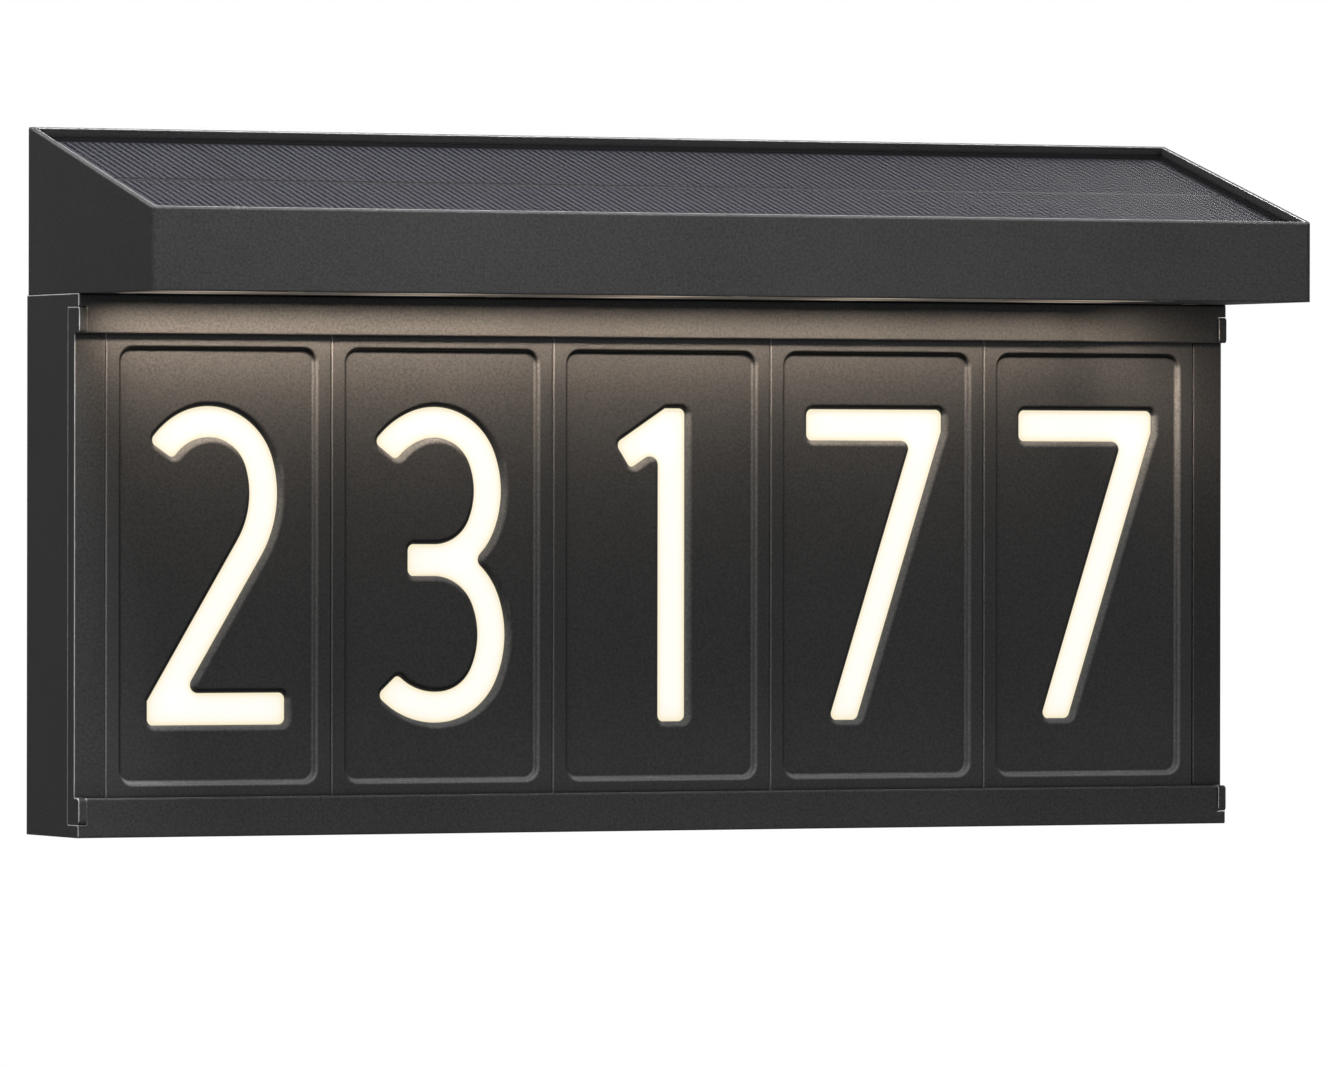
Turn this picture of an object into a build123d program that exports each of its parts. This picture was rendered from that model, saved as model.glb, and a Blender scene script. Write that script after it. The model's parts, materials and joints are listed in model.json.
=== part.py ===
from build123d import *
from math import atan, cos, radians, sin, tan
import os

# Illuminated house number sign with a solar hood, in millimetres. X runs to the right as seen from
# the street, Y runs into the wall and Z is up. The origin lies on the wall plane, midway between the
# entry circles of the two keyholes in the rear cover. "Depth" is the distance in front of the wall.

os.makedirs("parts", exist_ok=True)

# ---------------------------------------------------------------- driving sizes
sign_width = 400.0            # housing, over both end caps
housing_height = 167.8
housing_depth = 42.5          # front face of the rails
seam_z = 35.0                 # seam between housing and hood, above the keyhole entries

# housing moulding
housing_wall = 2.6            # sides, top and bottom behind the tile channel
channel_wall = 4.0            # top and bottom walls along the tile channel
rail_height = 12.25           # lip that hangs over the tiles, as it shows
lip_thickness = 2.9
lip_edge_radius = 0.6
channel_room = 5.7            # depth of the channel that the tiles slide in
frame_thickness = 2.0         # window frame behind the tiles
window_side_margin = 19.0     # window edge to the side of the housing
window_end_margin = 19.9      # and to its top and bottom
window_corner = 4.0
ledge_width = 3.5             # ledge that carries the rear gasket
ledge_thickness = 2.2

# number tiles
tile_digits = (2, 3, 1, 7, 7)
tile_gap = 0.2                # between neighbouring tiles
tile_face_play = 0.3          # lip to tile face
tile_back_play = 0.2          # tile to window frame
tile_edge_play = 0.25         # tile edge to channel wall
tile_edge_radius = 0.35
tongue_thickness = 2.0        # tile edge that runs behind the lip
tongue_height = 3.2
field_side_margin = 5.14      # tile edge to the recessed field
field_end_margin = 12.4
field_corner = 4.0
field_recess = 1.9
field_crest_radius = 1.05     # rolled step round the field, at the face
field_root_radius = 0.8       # and at the field
field_skin = 2.4
tile_rim = 2.2                # wall round the back pocket of a tile
tile_rib = 1.6                # rib across the core pockets

# digits, all from the centre of the digit
digit_height = 99.0
digit_unit = digit_height / 99.0   # the typed sizes of the outlines are drawn for 99 mm
stroke = 9.6                  # bowls, stems and legs
bar_height = 9.9              # level bars
digit_corner = 2.0
digit_inner_corner = 2.6
digit_roll = 1.9              # rolled edge of the cut-out
lens_thickness = 0.8
lens_inset = 1.0              # top and bottom of the lens inside the edge of the field
lens_key = 0.35               # raised digit on the lens, keyed into the cut-out
lens_fit = 0.1

# end caps
strip_width = 10.3            # strip beside the outer tiles
strip_thickness = 2.0
cap_wall = 2.7
cap_play = 0.15
cap_back_play = 0.1
tab_length = 8.15
tab_proud = 0.6               # tab ahead of the rail face
tab_front_radius = 1.2
arm_length = 18.0             # spring arms that slide in behind the tile tongues
arm_height = 2.4
arm_play = 0.3
notch_play = 0.1

# rear cover
cover_thickness = 2.2
cover_play = 0.2
gasket_thickness = 1.0
gasket_width = 2.5
keyhole_spacing = 260.0
keyhole_entry_radius = 4.5
keyhole_neck_radius = 2.3
keyhole_rise = 9.0
keyhole_pocket_wall = 1.5
keyhole_pocket_width = 13.0
keyhole_pocket_depth = 8.0
boss_radius = 3.2
boss_overlap = 0.1            # boss runs this far into the ledge or wall beside it

# screws
screw_radius = 1.4
screw_play = 0.05
screw_head_radius = 2.8
screw_head_height = 1.5       # pan heads
screw_clearance = 0.3         # hole in the piece that is held
cross_length = 2.8            # cross recess in a head
cross_width = 0.7
cross_depth = 0.8
cover_screw_length = 14.2
tray_screw_length = 5.4
board_screw_length = 5.6
door_screw_length = 9.0
hood_screw_length = 16.6
base_screw_length = 11.0
downlight_screw_length = 7.5

# battery bay in the rear cover
cell_radius = 9.2
cell_length = 65.0
cell_button_radius = 3.5
cell_button = 1.0
cell_edge = 0.6
cell_gap = 1.2
cell_play = 0.3
contact_room = 3.4
contact_thickness = 0.5
contact_width = 12.0
contact_leaf = 0.4
leaf_width = 8.0
leaf_reach = 0.2              # leaf to the end of the cell, at its middle line
bay_wall = 1.6
bay_z = -66.0
door_thickness = 2.2
door_seal_thickness = 0.6
door_seal_width = 2.5
door_seal_play = 0.3
door_rim = 8.0
door_play = 0.2
seat_thickness = 2.0          # cover behind the rebate for the door
seat_wall = 2.0

# control board and mode button
board_width = 88.0
board_height = 34.0
board_thickness = 1.6
board_x = 118.0               # board and mode button
board_standoff = 5.0
board_inset = 1.0             # bottom edge of the board above the tray's
board_hole_inset = 4.0
connector_height = 5.0
connector_inset = 1.0
connector_length = 6.0
connector_width = 6.0
post_radius = 2.6
chip_size = 7.0
chip_spacing = 15.4
coil_spacing = 38.5
chip_height = 1.4
coil_radius = 3.6
coil_height = 4.2
button_radius = 4.5
button_fit = 0.08
button_set_back = 0.3
button_chamfer = 0.5
button_flange_radius = 6.0
button_flange = 1.0
button_stem_radius = 2.2
button_travel = 1.2
button_gap = 0.1              # stem to plunger when it is pressed home
button_seal_width = 2.7
button_seal_height = 1.5
button_seal_gap = 0.3
switch_width = 6.0
switch_height = 7.0
switch_length = 4.0
plunger_radius = 1.6
plunger_length = 1.5

# light tray behind the window
tray_overlap = 3.5            # tray over the edge of the window
tray_floor = 2.0
tray_rim = 1.6
guide_thickness = 3.0
reflector_thickness = 0.3
diffuser_thickness = 0.8
sheet_play = 0.2
strip_board_thickness = 1.0
strip_tail_x = 148.0          # tail that brings the strip board out through the tray
strip_tail_width = 9.0
strip_tail_reach = 4.6
edge_led_count = 20
edge_led_length = 3.0
edge_led_height = 0.8
edge_led_width = 2.6
edge_led_spacing = 18.0
edge_led_gap = 0.2
ear_radius = 3.6
tray_screw_spacing = 123.0
tray_boss_radius = 2.8

# hood
hood_side_inset = 0.25        # hood inside the side of the housing
hood_wall_gap = 0.4           # hood back to the wall plane
hood_depth = 101.5
hood_front_height = 25.1
hood_back_height = 52.6
hood_wall = 2.2
hood_corner_radius = 2.4
hood_edge_radius = 0.5
rim_thickness = 1.7
rim_above_panel = 2.9
roof_thickness = 2.0
base_thickness = 2.0
base_play = 0.15
hood_screw_depth = 20.0
hood_screw_spacing = 100.0
hood_boss_radius = 3.2
base_boss_radius = 2.6
base_screw_inset = 3.15       # front screws behind the front edge of the base
base_screw_setback = 8.0      # back screws behind the downlight
base_screw_side_inset = 12.4
base_screw_front_spacing = 150.0

# solar panel
panel_play = 0.4
tape_thickness = 0.5
tape_width = 12.0
backing_thickness = 1.2
cell_thickness = 0.3
glass_thickness = 0.8
panel_border = 2.6            # backing that shows round the cells
row_gap = 3.0
panel_rows = 2
panel_columns = 8
column_gap = 0.6

# downlight under the hood
downlight_left_inset = 3.9    # from the left edge of the base
downlight_right_inset = 47.9
downlight_front_inset = 7.15
downlight_width = 38.0
downlight_flange = 1.0
downlight_flange_thickness = 1.2
downlight_fit = 0.1
downlight_board_end_inset = 4.5
downlight_board_inset = 1.0
downlight_standoff = 7.0
downlight_screw_spacing = 100.0
downlight_screw_count = 4
downlight_leds = 5
downlight_led_rows = 2
downlight_row_spacing = 26.0
downlight_led_size = 3.0
downlight_led_height = 0.8

# leads
lead_radius = 1.2
lead_fit = 0.1
lead_spacing = 4.4
grommet_x = 96.0
grommet_radius = 4.6
grommet_flange = 1.4
grommet_fit = 0.05
battery_lead_x = 85.0
battery_lead_bend = 15.0
panel_lead_depth = 41.0       # where the leads leave the panel and the downlight board
panel_lead_drop = 12.0
panel_lead_bend = 11.0
downlight_lead_inset = 6.0    # from the back edge of the downlight
downlight_lead_rise = 10.0
downlight_lead_bend = 9.5
strip_lead_bend = 4.2
over = 2.0                    # how far a cut runs past the face that it opens

# ---------------------------------------------------------------- worked-out places
housing_top = seam_z
housing_bottom = seam_z - housing_height
housing_mid = (housing_top + housing_bottom) / 2
lip_back = housing_depth - lip_thickness
channel_back = lip_back - channel_room
frame_back = channel_back - frame_thickness
channel_height = housing_height - 2 * channel_wall
opening_height = housing_height - 2 * rail_height
chamber_width = sign_width - 2 * housing_wall
chamber_height = housing_height - 2 * housing_wall
ledge_back = cover_thickness + gasket_thickness

tile_pitch = (sign_width - 2 * strip_width) / len(tile_digits)
tile_width = tile_pitch - tile_gap
tile_height = channel_height - 2 * tile_edge_play
field_width = tile_width - 2 * field_side_margin
field_height = tile_height - 2 * field_end_margin
window_width = sign_width - 2 * window_side_margin
window_height = housing_height - 2 * window_end_margin
tray_width = window_width + 2 * tray_overlap
tray_height = window_height + 2 * tray_overlap
tile_face = lip_back - tile_face_play
tile_back = channel_back + tile_back_play
field_face = tile_face - field_recess
skin_back = field_face - field_skin

tray_front = frame_back
light_stack = reflector_thickness + guide_thickness + diffuser_thickness
tray_back = frame_back - sheet_play - light_stack - tray_floor
boss_half_x = chamber_width / 2 - ledge_width - boss_radius + boss_overlap
boss_half_z = chamber_height / 2 - ledge_width - boss_radius + boss_overlap
notch_height = rail_height - channel_wall
notch_length = cap_wall + notch_play
cover_screw_places = [
    (x * boss_half_x, z * boss_half_z) for x in (-1, -1 / 3, 1 / 3, 1) for z in (-1, 1)
] + [(-boss_half_x, 0), (boss_half_x, 0)]
lens_width = tile_width - 2 * tile_rim
lens_height = field_height - 2 * lens_inset
core_height = (tile_height - 2 * tongue_height - 2 * tile_rim - 2 * tile_rib - lens_height) / 2
tab_mid = housing_height / 2 - channel_wall - cap_play - tab_length / 2
arm_mid = housing_height / 2 - channel_wall - cap_play - arm_height / 2
tray_screw_z = tray_height / 2 + ear_radius
tray_screw_places = [(x * tray_screw_spacing, z * tray_screw_z) for x in (-1, 0, 1) for z in (-1, 1)]

tray_inner_width = tray_width - 2 * tray_rim
tray_inner_height = tray_height - 2 * tray_rim
strip_board_z = housing_mid + tray_inner_height / 2 - strip_board_thickness / 2

bay_length = cell_length + 2 * contact_room
bay_height = 4 * cell_radius + cell_gap + 2 * cell_play
door_length = bay_length + 2 * door_rim + 2 * bay_wall
door_height = bay_height + 2 * bay_wall + door_rim
rebate_depth = door_thickness + door_seal_thickness
bay_floor = rebate_depth + 2 * cell_radius + 2 * cell_play
door_screw_x = door_length / 2 - door_rim / 2 - bay_wall / 2

cell_depth = rebate_depth + cell_play + cell_radius
cell_half_pitch = cell_radius + cell_gap / 2

board_bottom = housing_mid - tray_height / 2 + board_inset
board_z = board_bottom + board_height / 2
board_back = tray_back - board_standoff - board_thickness
board_hole_x = board_width / 2 - board_hole_inset
board_hole_z = board_height / 2 - board_hole_inset
board_holes = [(board_x + x * board_hole_x, board_z + z * board_hole_z) for x in (-1, 1) for z in (-1, 1)]
lead_depth = board_back - connector_height / 2
connector_top = board_bottom + board_height - connector_inset
button_depth = board_back - switch_height / 2

slope = atan((hood_back_height - hood_front_height) / (hood_depth - hood_wall_gap))
slope_length = (hood_depth - hood_wall_gap) / cos(slope)
stack_thickness = tape_thickness + backing_thickness + cell_thickness + glass_thickness
recess_depth = rim_above_panel + stack_thickness
roof_depth = recess_depth + roof_thickness
hood_width = sign_width - 2 * hood_side_inset
recess_width = hood_width - 2 * rim_thickness
recess_length = slope_length - 2 * rim_thickness
base_top = seam_z + base_thickness
base_front = hood_depth - hood_wall - base_play
base_back = hood_wall_gap + hood_wall + base_play
base_width = hood_width - 2 * hood_wall - 2 * base_play
downlight_length = base_width - downlight_left_inset - downlight_right_inset
downlight_x = (downlight_left_inset - downlight_right_inset) / 2
downlight_depth = base_front - downlight_front_inset - downlight_width / 2
downlight_back = downlight_depth - downlight_width / 2
downlight_board_length = downlight_length - 2 * downlight_board_end_inset
downlight_board_width = downlight_width - 2 * downlight_board_inset
downlight_lead_depth = downlight_back + downlight_lead_inset
base_screw_back_depth = downlight_back - base_screw_setback
base_screw_back_x = base_width / 2 - base_screw_side_inset
hood_screw_places = [(x * hood_screw_spacing, -hood_screw_depth) for x in (-1.5, -0.5, 0.5, 1.5)]
base_screw_places = [(x * base_screw_back_x / 3, -base_screw_back_depth) for x in (-3, -1, 1, 3)]
base_screw_places += [(x * base_screw_front_spacing, -base_front + base_screw_inset) for x in (-1, 0, 1)]
downlight_board_z = base_top + downlight_standoff
downlight_screw_places = [
    (downlight_x + (k - (downlight_screw_count - 1) / 2) * downlight_screw_spacing, -downlight_depth)
    for k in range(downlight_screw_count)
]
panel_width = recess_width - 2 * panel_play
panel_length = recess_length - 2 * panel_play
cells_width = panel_width - 2 * panel_border
cells_length = panel_length - 2 * panel_border
panel_lead_x = grommet_x + lead_spacing / 2
downlight_lead_x = grommet_x - lead_spacing / 2


def elevation(depth):
    """Upright plane at a depth in front of the wall: X to the right, Y up, normal to the street."""
    return Plane.XZ.offset(depth)


def sign_plane(depth):
    """The same, with its origin in the middle of the housing's front."""
    return Plane(origin=(0, -depth, housing_mid), x_dir=(1, 0, 0), z_dir=(0, -1, 0))


def roof_plane(depth):
    """Plane parallel to the sloping top of the hood, at a depth below its rim."""
    front_top = (0, -hood_depth, seam_z + hood_front_height)
    normal = (0, -sin(slope), cos(slope))
    return Plane(origin=front_top, x_dir=(1, 0, 0), z_dir=normal).offset(-depth)


def plan(height):
    """Level plane at a height: X to the right, Y into the wall."""
    return Plane.XY.offset(height)


def roof_height(depth, below):
    """Height of a plane below the rim of the hood, at a depth in front of the wall."""
    return seam_z + hood_front_height + (hood_depth - depth) * tan(slope) - below / cos(slope)


def pan_head_screws(places, plane, length):
    """Group of screws whose heads rest on the plane and whose shanks run along its normal."""
    with BuildPart() as screws:
        with BuildSketch(plane):
            with Locations(*places):
                Circle(screw_head_radius)
        extrude(amount=-screw_head_height)
        with BuildSketch(plane):
            with Locations(*places):
                Circle(screw_radius)
        extrude(amount=length)
        with BuildSketch(plane.offset(-screw_head_height)):
            with Locations(*places):
                Rectangle(cross_length, cross_width)
                Rectangle(cross_width, cross_length)
        extrude(amount=cross_depth, mode=Mode.SUBTRACT)
    return screws


def countersunk_screws(places, plane, length):
    """Group of screws whose heads lie flush with the plane; the length is taken over the head."""
    with BuildPart() as screws:
        with BuildSketch(plane):
            with Locations(*places):
                Circle(screw_radius)
        extrude(amount=length)
        with BuildSketch(plane):
            with Locations(*places):
                Circle(screw_head_radius)
        extrude(amount=screw_head_radius - screw_radius, taper=45)
        with BuildSketch(plane):
            with Locations(*places):
                Rectangle(cross_length, cross_width)
                Rectangle(cross_width, cross_length)
        extrude(amount=cross_depth, mode=Mode.SUBTRACT)
    return screws


def countersunk_holes(places, plane, thickness):
    """Cutter for clearance holes through a thickness, countersunk at the plane."""
    with BuildPart() as cutter:
        with BuildSketch(plane):
            with Locations(*places):
                Circle(screw_radius + screw_clearance)
        extrude(amount=thickness)
        with BuildSketch(plane):
            with Locations(*places):
                Circle(screw_head_radius + screw_play)
        extrude(amount=screw_head_radius - screw_radius, taper=45)
    return cutter.part


def lead(points, bend):
    """Round lead along straight runs joined by tangent arcs."""
    with BuildPart() as cable:
        with BuildLine() as route:
            FilletPolyline(*points, radius=bend)
        with BuildSketch(Plane(origin=route.line @ 0, z_dir=route.line % 0)):
            Circle(lead_radius)
        sweep()
    return cable


# ---------------------------------------------------------------- digits
def bowl(start, heading, arcs, run=0.0):
    """Centre line that turns clockwise through tangent arcs (radius, turn), then runs straight."""
    with BuildLine() as line:
        point = Vector(*start) * digit_unit
        for radius, turn in arcs:
            direction = (cos(radians(heading)), sin(radians(heading)))
            arc = JernArc(start=point, tangent=direction, radius=radius * digit_unit, arc_size=-turn)
            point = arc @ 1
            heading -= turn
        if run:
            PolarLine(point, run * digit_unit, heading)
    return line.line


def digit_outline(digit):
    """Outline of one digit, centred on the digit."""
    half = digit_height / 2
    if digit == 1:
        return digit_one(half)
    if digit == 2:
        return digit_two(half)
    if digit == 3:
        return digit_three(half)
    return digit_seven(half)


def digit_one(half):
    """Stem with a flag that falls to the left."""
    stem_left = 0.1 * digit_unit
    stem_right = stem_left + stroke
    flag_slope = tan(radians(32.9))
    flag_drop = stroke / cos(radians(32.9))
    flag_top_x = 2.6 * digit_unit
    flag_reach = 17.2 * digit_unit
    lean = stroke * sin(radians(32.9))
    tip = (flag_top_x - flag_reach, half - flag_reach * flag_slope)
    heel = (tip[0] + lean, tip[1] - stroke * cos(radians(32.9)))
    crotch = (stem_left, half - (flag_top_x - stem_left) * flag_slope - flag_drop)
    with BuildSketch() as outline:
        with BuildLine():
            Polyline(
                (stem_left, -half),
                (stem_right, -half),
                (stem_right, half),
                (flag_top_x, half),
                tip,
                heel,
                crotch,
                close=True,
            )
        make_face()
        inner = [v for v in outline.vertices() if abs(v.Y - crotch[1]) < 0.01]
        fillet(inner, digit_inner_corner)
        outer = [v for v in outline.vertices() if v.X > stem_right - 0.01 or v.Y < -half + 0.01]
        fillet(outer, digit_corner)
        flag = [v for v in outline.vertices() if v.X < heel[0] + 0.01]
        fillet(flag, digit_corner)
    return outline.sketch


def digit_two(half):
    """Bowl that runs down a straight diagonal into a level bar."""
    bar_left = -22.6 * digit_unit
    bar_right = 23.8 * digit_unit
    bar_start = -18.0 * digit_unit
    path = bowl((-17.8, 35.7), 56.0, ((21.5, 24.0), (17.8, 105.0), (33.0, 48.3)), run=70.0)
    with BuildSketch() as outline:
        trace(path, line_width=stroke)
        with Locations((bar_left, -half)):
            Rectangle(4 * stroke, 2 * stroke, align=(Align.CENTER, Align.MAX), mode=Mode.SUBTRACT)
            Rectangle(2 * stroke, 4 * stroke, align=(Align.MAX, Align.CENTER), mode=Mode.SUBTRACT)
        with Locations((bar_start, -half)):
            Rectangle(bar_right - bar_start, bar_height, align=(Align.MIN, Align.MIN))
        crotch = [v for v in outline.vertices() if abs(v.Y + half - bar_height) < 0.01 and v.X < 0]
        fillet(crotch, digit_inner_corner)
        ends = [v for v in outline.vertices() if v.X > bar_right - 0.01 or v.Y < -half + 0.01]
        fillet(ends, digit_corner)
        tip = [v for v in outline.vertices() if v.X < half / -4 and half / 2 < v.Y < half - stroke / 2]
        fillet(tip, digit_corner)
    return outline.sketch


def digit_three(half):
    """Two bowls that meet in a short level bar."""
    bar_left = -10.4 * digit_unit
    bar_right = 4.0 * digit_unit
    bar_mid = 1.6 * digit_unit
    upper = bowl((-18.0, 35.6), 53.8, ((23.1, 34.7), (17.5, 87.8), (28.4, 43.9), (17.3, 67.4)))
    lower = bowl((-17.2, 37.3), 47.2, ((22.5, 53.9), (17.3, 59.2), (30.4, 46.0), (19.1, 68.1)))
    with BuildSketch() as outline:
        trace(upper, line_width=stroke)
        trace(mirror(lower, about=Plane.XZ), line_width=stroke)
        with Locations((bar_left, bar_mid)):
            Rectangle(bar_right - bar_left, bar_height, align=(Align.MIN, Align.CENTER))
        notch = [v for v in outline.vertices() if v.X > bar_right and abs(v.Y - bar_mid) < stroke / 4]
        fillet(notch, digit_inner_corner)
        bar_end = [v for v in outline.vertices() if abs(v.X - bar_left) < 0.01]
        fillet(bar_end, digit_corner)
        tips = [v for v in outline.vertices() if v.X < bar_left - 0.1 and abs(v.Y) > half / 2]
        fillet(tips, digit_corner)
    return outline.sketch


def digit_seven(half):
    """Level bar with a straight leg that leans to the left."""
    bar_left = -23.6 * digit_unit
    bar_right = 24.7 * digit_unit
    lean = tan(radians(18.1))
    leg_half = stroke / 2 / cos(radians(18.1))
    leg_mid_x = 5.75 * digit_unit
    foot_x = leg_mid_x - lean * half
    right_join = (bar_right - leg_half - leg_mid_x) / lean
    bar_under = half - bar_height
    crotch_x = leg_mid_x + lean * bar_under - leg_half
    with BuildSketch() as outline:
        with BuildLine():
            Polyline(
                (bar_left, half),
                (bar_right, half),
                (bar_right, right_join),
                (foot_x + leg_half, -half),
                (foot_x - leg_half, -half),
                (crotch_x, bar_under),
                (bar_left, bar_under),
                close=True,
            )
        make_face()
        inner = [v for v in outline.vertices() if abs(v.X - crotch_x) < 0.01]
        fillet(inner, digit_inner_corner)
        outer = [v for v in outline.vertices() if abs(v.X - bar_left) < 0.01 or abs(v.Y) > half - 0.01]
        fillet(outer, digit_corner)
    return outline.sketch


# ---------------------------------------------------------------- housing
with BuildPart() as housing:
    with BuildSketch(sign_plane(0)):
        Rectangle(sign_width, housing_height)
    extrude(amount=housing_depth)
    with BuildSketch(sign_plane(0)):
        Rectangle(chamber_width, chamber_height)
    extrude(amount=frame_back, mode=Mode.SUBTRACT)
    with BuildSketch(sign_plane(frame_back)):
        RectangleRounded(window_width, window_height, window_corner)
    extrude(amount=frame_thickness, mode=Mode.SUBTRACT)
    # tile channel, open at both ends, and the gap between the two lips
    with BuildSketch(sign_plane(channel_back)):
        Rectangle(sign_width + 2 * over, channel_height)
    extrude(amount=channel_room, mode=Mode.SUBTRACT)
    with BuildSketch(sign_plane(lip_back)):
        Rectangle(sign_width + 2 * over, opening_height)
    extrude(amount=lip_thickness, mode=Mode.SUBTRACT)
    rail_edges = housing.edges().filter_by(Axis.X).group_by(Axis.Y)[0]
    fillet(rail_edges, lip_edge_radius)
    # notches in the ends of the lips, for the tabs of the end caps
    with BuildSketch(sign_plane(lip_back)):
        with GridLocations(sign_width - notch_length, opening_height + notch_height, 2, 2):
            Rectangle(notch_length, notch_height)
    extrude(amount=lip_thickness, mode=Mode.SUBTRACT)
    # ledge for the rear gasket, with the screw bosses beside it
    with BuildSketch(sign_plane(ledge_back)):
        Rectangle(chamber_width, chamber_height)
        Rectangle(chamber_width - 2 * ledge_width, chamber_height - 2 * ledge_width, mode=Mode.SUBTRACT)
    extrude(amount=ledge_thickness)
    with BuildSketch(sign_plane(cover_thickness)):
        with Locations(*cover_screw_places):
            Circle(boss_radius)
    extrude(amount=frame_back - cover_thickness)
    with BuildSketch(sign_plane(cover_thickness)):
        with Locations(*cover_screw_places):
            Circle(screw_radius + screw_play)
    extrude(amount=cover_screw_length - cover_thickness + screw_play, mode=Mode.SUBTRACT)
    # bosses for the light tray
    with BuildSketch(sign_plane(tray_back + tray_floor)):
        with Locations(*tray_screw_places):
            Circle(tray_boss_radius)
    extrude(amount=frame_back - tray_back - tray_floor)
    with BuildSketch(sign_plane(tray_back + tray_floor)):
        with Locations(*tray_screw_places):
            Circle(screw_radius + screw_play)
    extrude(amount=tray_screw_length - tray_floor + screw_play, mode=Mode.SUBTRACT)
    # guide for the mode button in the bottom wall
    with BuildSketch(plan(housing_bottom)):
        with Locations((board_x, -button_depth)):
            Circle(button_radius + button_fit)
    extrude(amount=housing_wall, mode=Mode.SUBTRACT)
    # passages to the hood: grommet and screws
    with BuildSketch(plan(housing_top)):
        with Locations((grommet_x, -lead_depth)):
            Circle(grommet_radius)
        with Locations(*hood_screw_places):
            Circle(screw_radius + screw_clearance)
    extrude(amount=-housing_wall, mode=Mode.SUBTRACT)
housing.part.label = "housing"
export_step(housing.part, "parts/housing.step")


# ---------------------------------------------------------------- number tiles and their lenses
def number_tile(centre_x, digit):
    """Moulded tile: recessed field, rolled cut-out for the digit, tongues that run behind the lips."""
    face = Plane(origin=(centre_x, -tile_face, housing_mid), x_dir=(1, 0, 0), z_dir=(0, -1, 0))
    with BuildPart() as tile:
        with BuildSketch(face):
            Rectangle(tile_width, tile_height)
        extrude(amount=-tongue_thickness)
        with BuildSketch(face):
            Rectangle(tile_width, tile_height - 2 * tongue_height)
        extrude(amount=tile_back - tile_face)
        side_edges = tile.edges().filter_by(Axis.Z).group_by(Axis.Y)[0]
        fillet(side_edges, tile_edge_radius)
        with BuildSketch(face):
            RectangleRounded(field_width, field_height, field_corner)
        extrude(amount=-field_recess, mode=Mode.SUBTRACT)
        at_face = tile.faces().filter_by(Axis.Y).group_by(Axis.Y)[0].edges()
        crest = [e for e in at_face if abs(e.center().X - centre_x) < field_width / 2 + 0.1
                 and abs(e.center().Z - housing_mid) < field_height / 2 + 0.1]
        fillet(crest, field_crest_radius)
        at_field = tile.faces().filter_by(Axis.Y).filter_by_position(
            Axis.Y, -field_face - 0.01, -field_face + 0.01
        )
        fillet(at_field.edges(), field_root_radius)
        # pocket for the lens behind the field, with cores above and below it
        with BuildSketch(face.offset(tile_back - tile_face)):
            Rectangle(lens_width, lens_height)
        extrude(amount=skin_back - tile_back, mode=Mode.SUBTRACT)
        with BuildSketch(face.offset(tile_back - tile_face)):
            with GridLocations((tile_width - tile_rim) / 2, lens_height + core_height + 2 * tile_rib, 2, 2):
                Rectangle((tile_width - 3 * tile_rim) / 2, core_height)
        extrude(amount=tile_face - tongue_thickness - tile_back, mode=Mode.SUBTRACT)
        with BuildSketch(face.offset(skin_back - tile_face)):
            add(digit_outline(digit))
        extrude(amount=field_skin, mode=Mode.SUBTRACT)
        field = tile.faces().filter_by(Axis.Y).filter_by_position(
            Axis.Y, -field_face - 0.01, -field_face + 0.01
        )[0]
        for cut_out in field.inner_wires():
            fillet(cut_out.edges(), digit_roll)
    return tile


def digit_lens(centre_x, digit):
    """Opal lens behind a tile's field, with the digit raised on it."""
    back = Plane(origin=(centre_x, -tile_back, housing_mid), x_dir=(1, 0, 0), z_dir=(0, -1, 0))
    with BuildPart() as lens:
        with BuildSketch(back):
            Rectangle(lens_width - 2 * lens_fit, lens_height - 2 * lens_fit)
        extrude(amount=lens_thickness)
        with BuildSketch(back.offset(lens_thickness)):
            add(digit_outline(digit))
            offset(amount=-lens_fit)
        extrude(amount=lens_key + skin_back - tile_back - lens_thickness)
    return lens


for index, digit in enumerate(tile_digits):
    centre_x = (index - (len(tile_digits) - 1) / 2) * tile_pitch
    tile = number_tile(centre_x, digit)
    tile.part.label = f"number_tile_{index + 1}"
    export_step(tile.part, f"parts/number_tile_{index + 1}.step")
    lens = digit_lens(centre_x, digit)
    lens.part.label = f"digit_lens_{index + 1}"
    export_step(lens.part, f"parts/digit_lens_{index + 1}.step")


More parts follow.
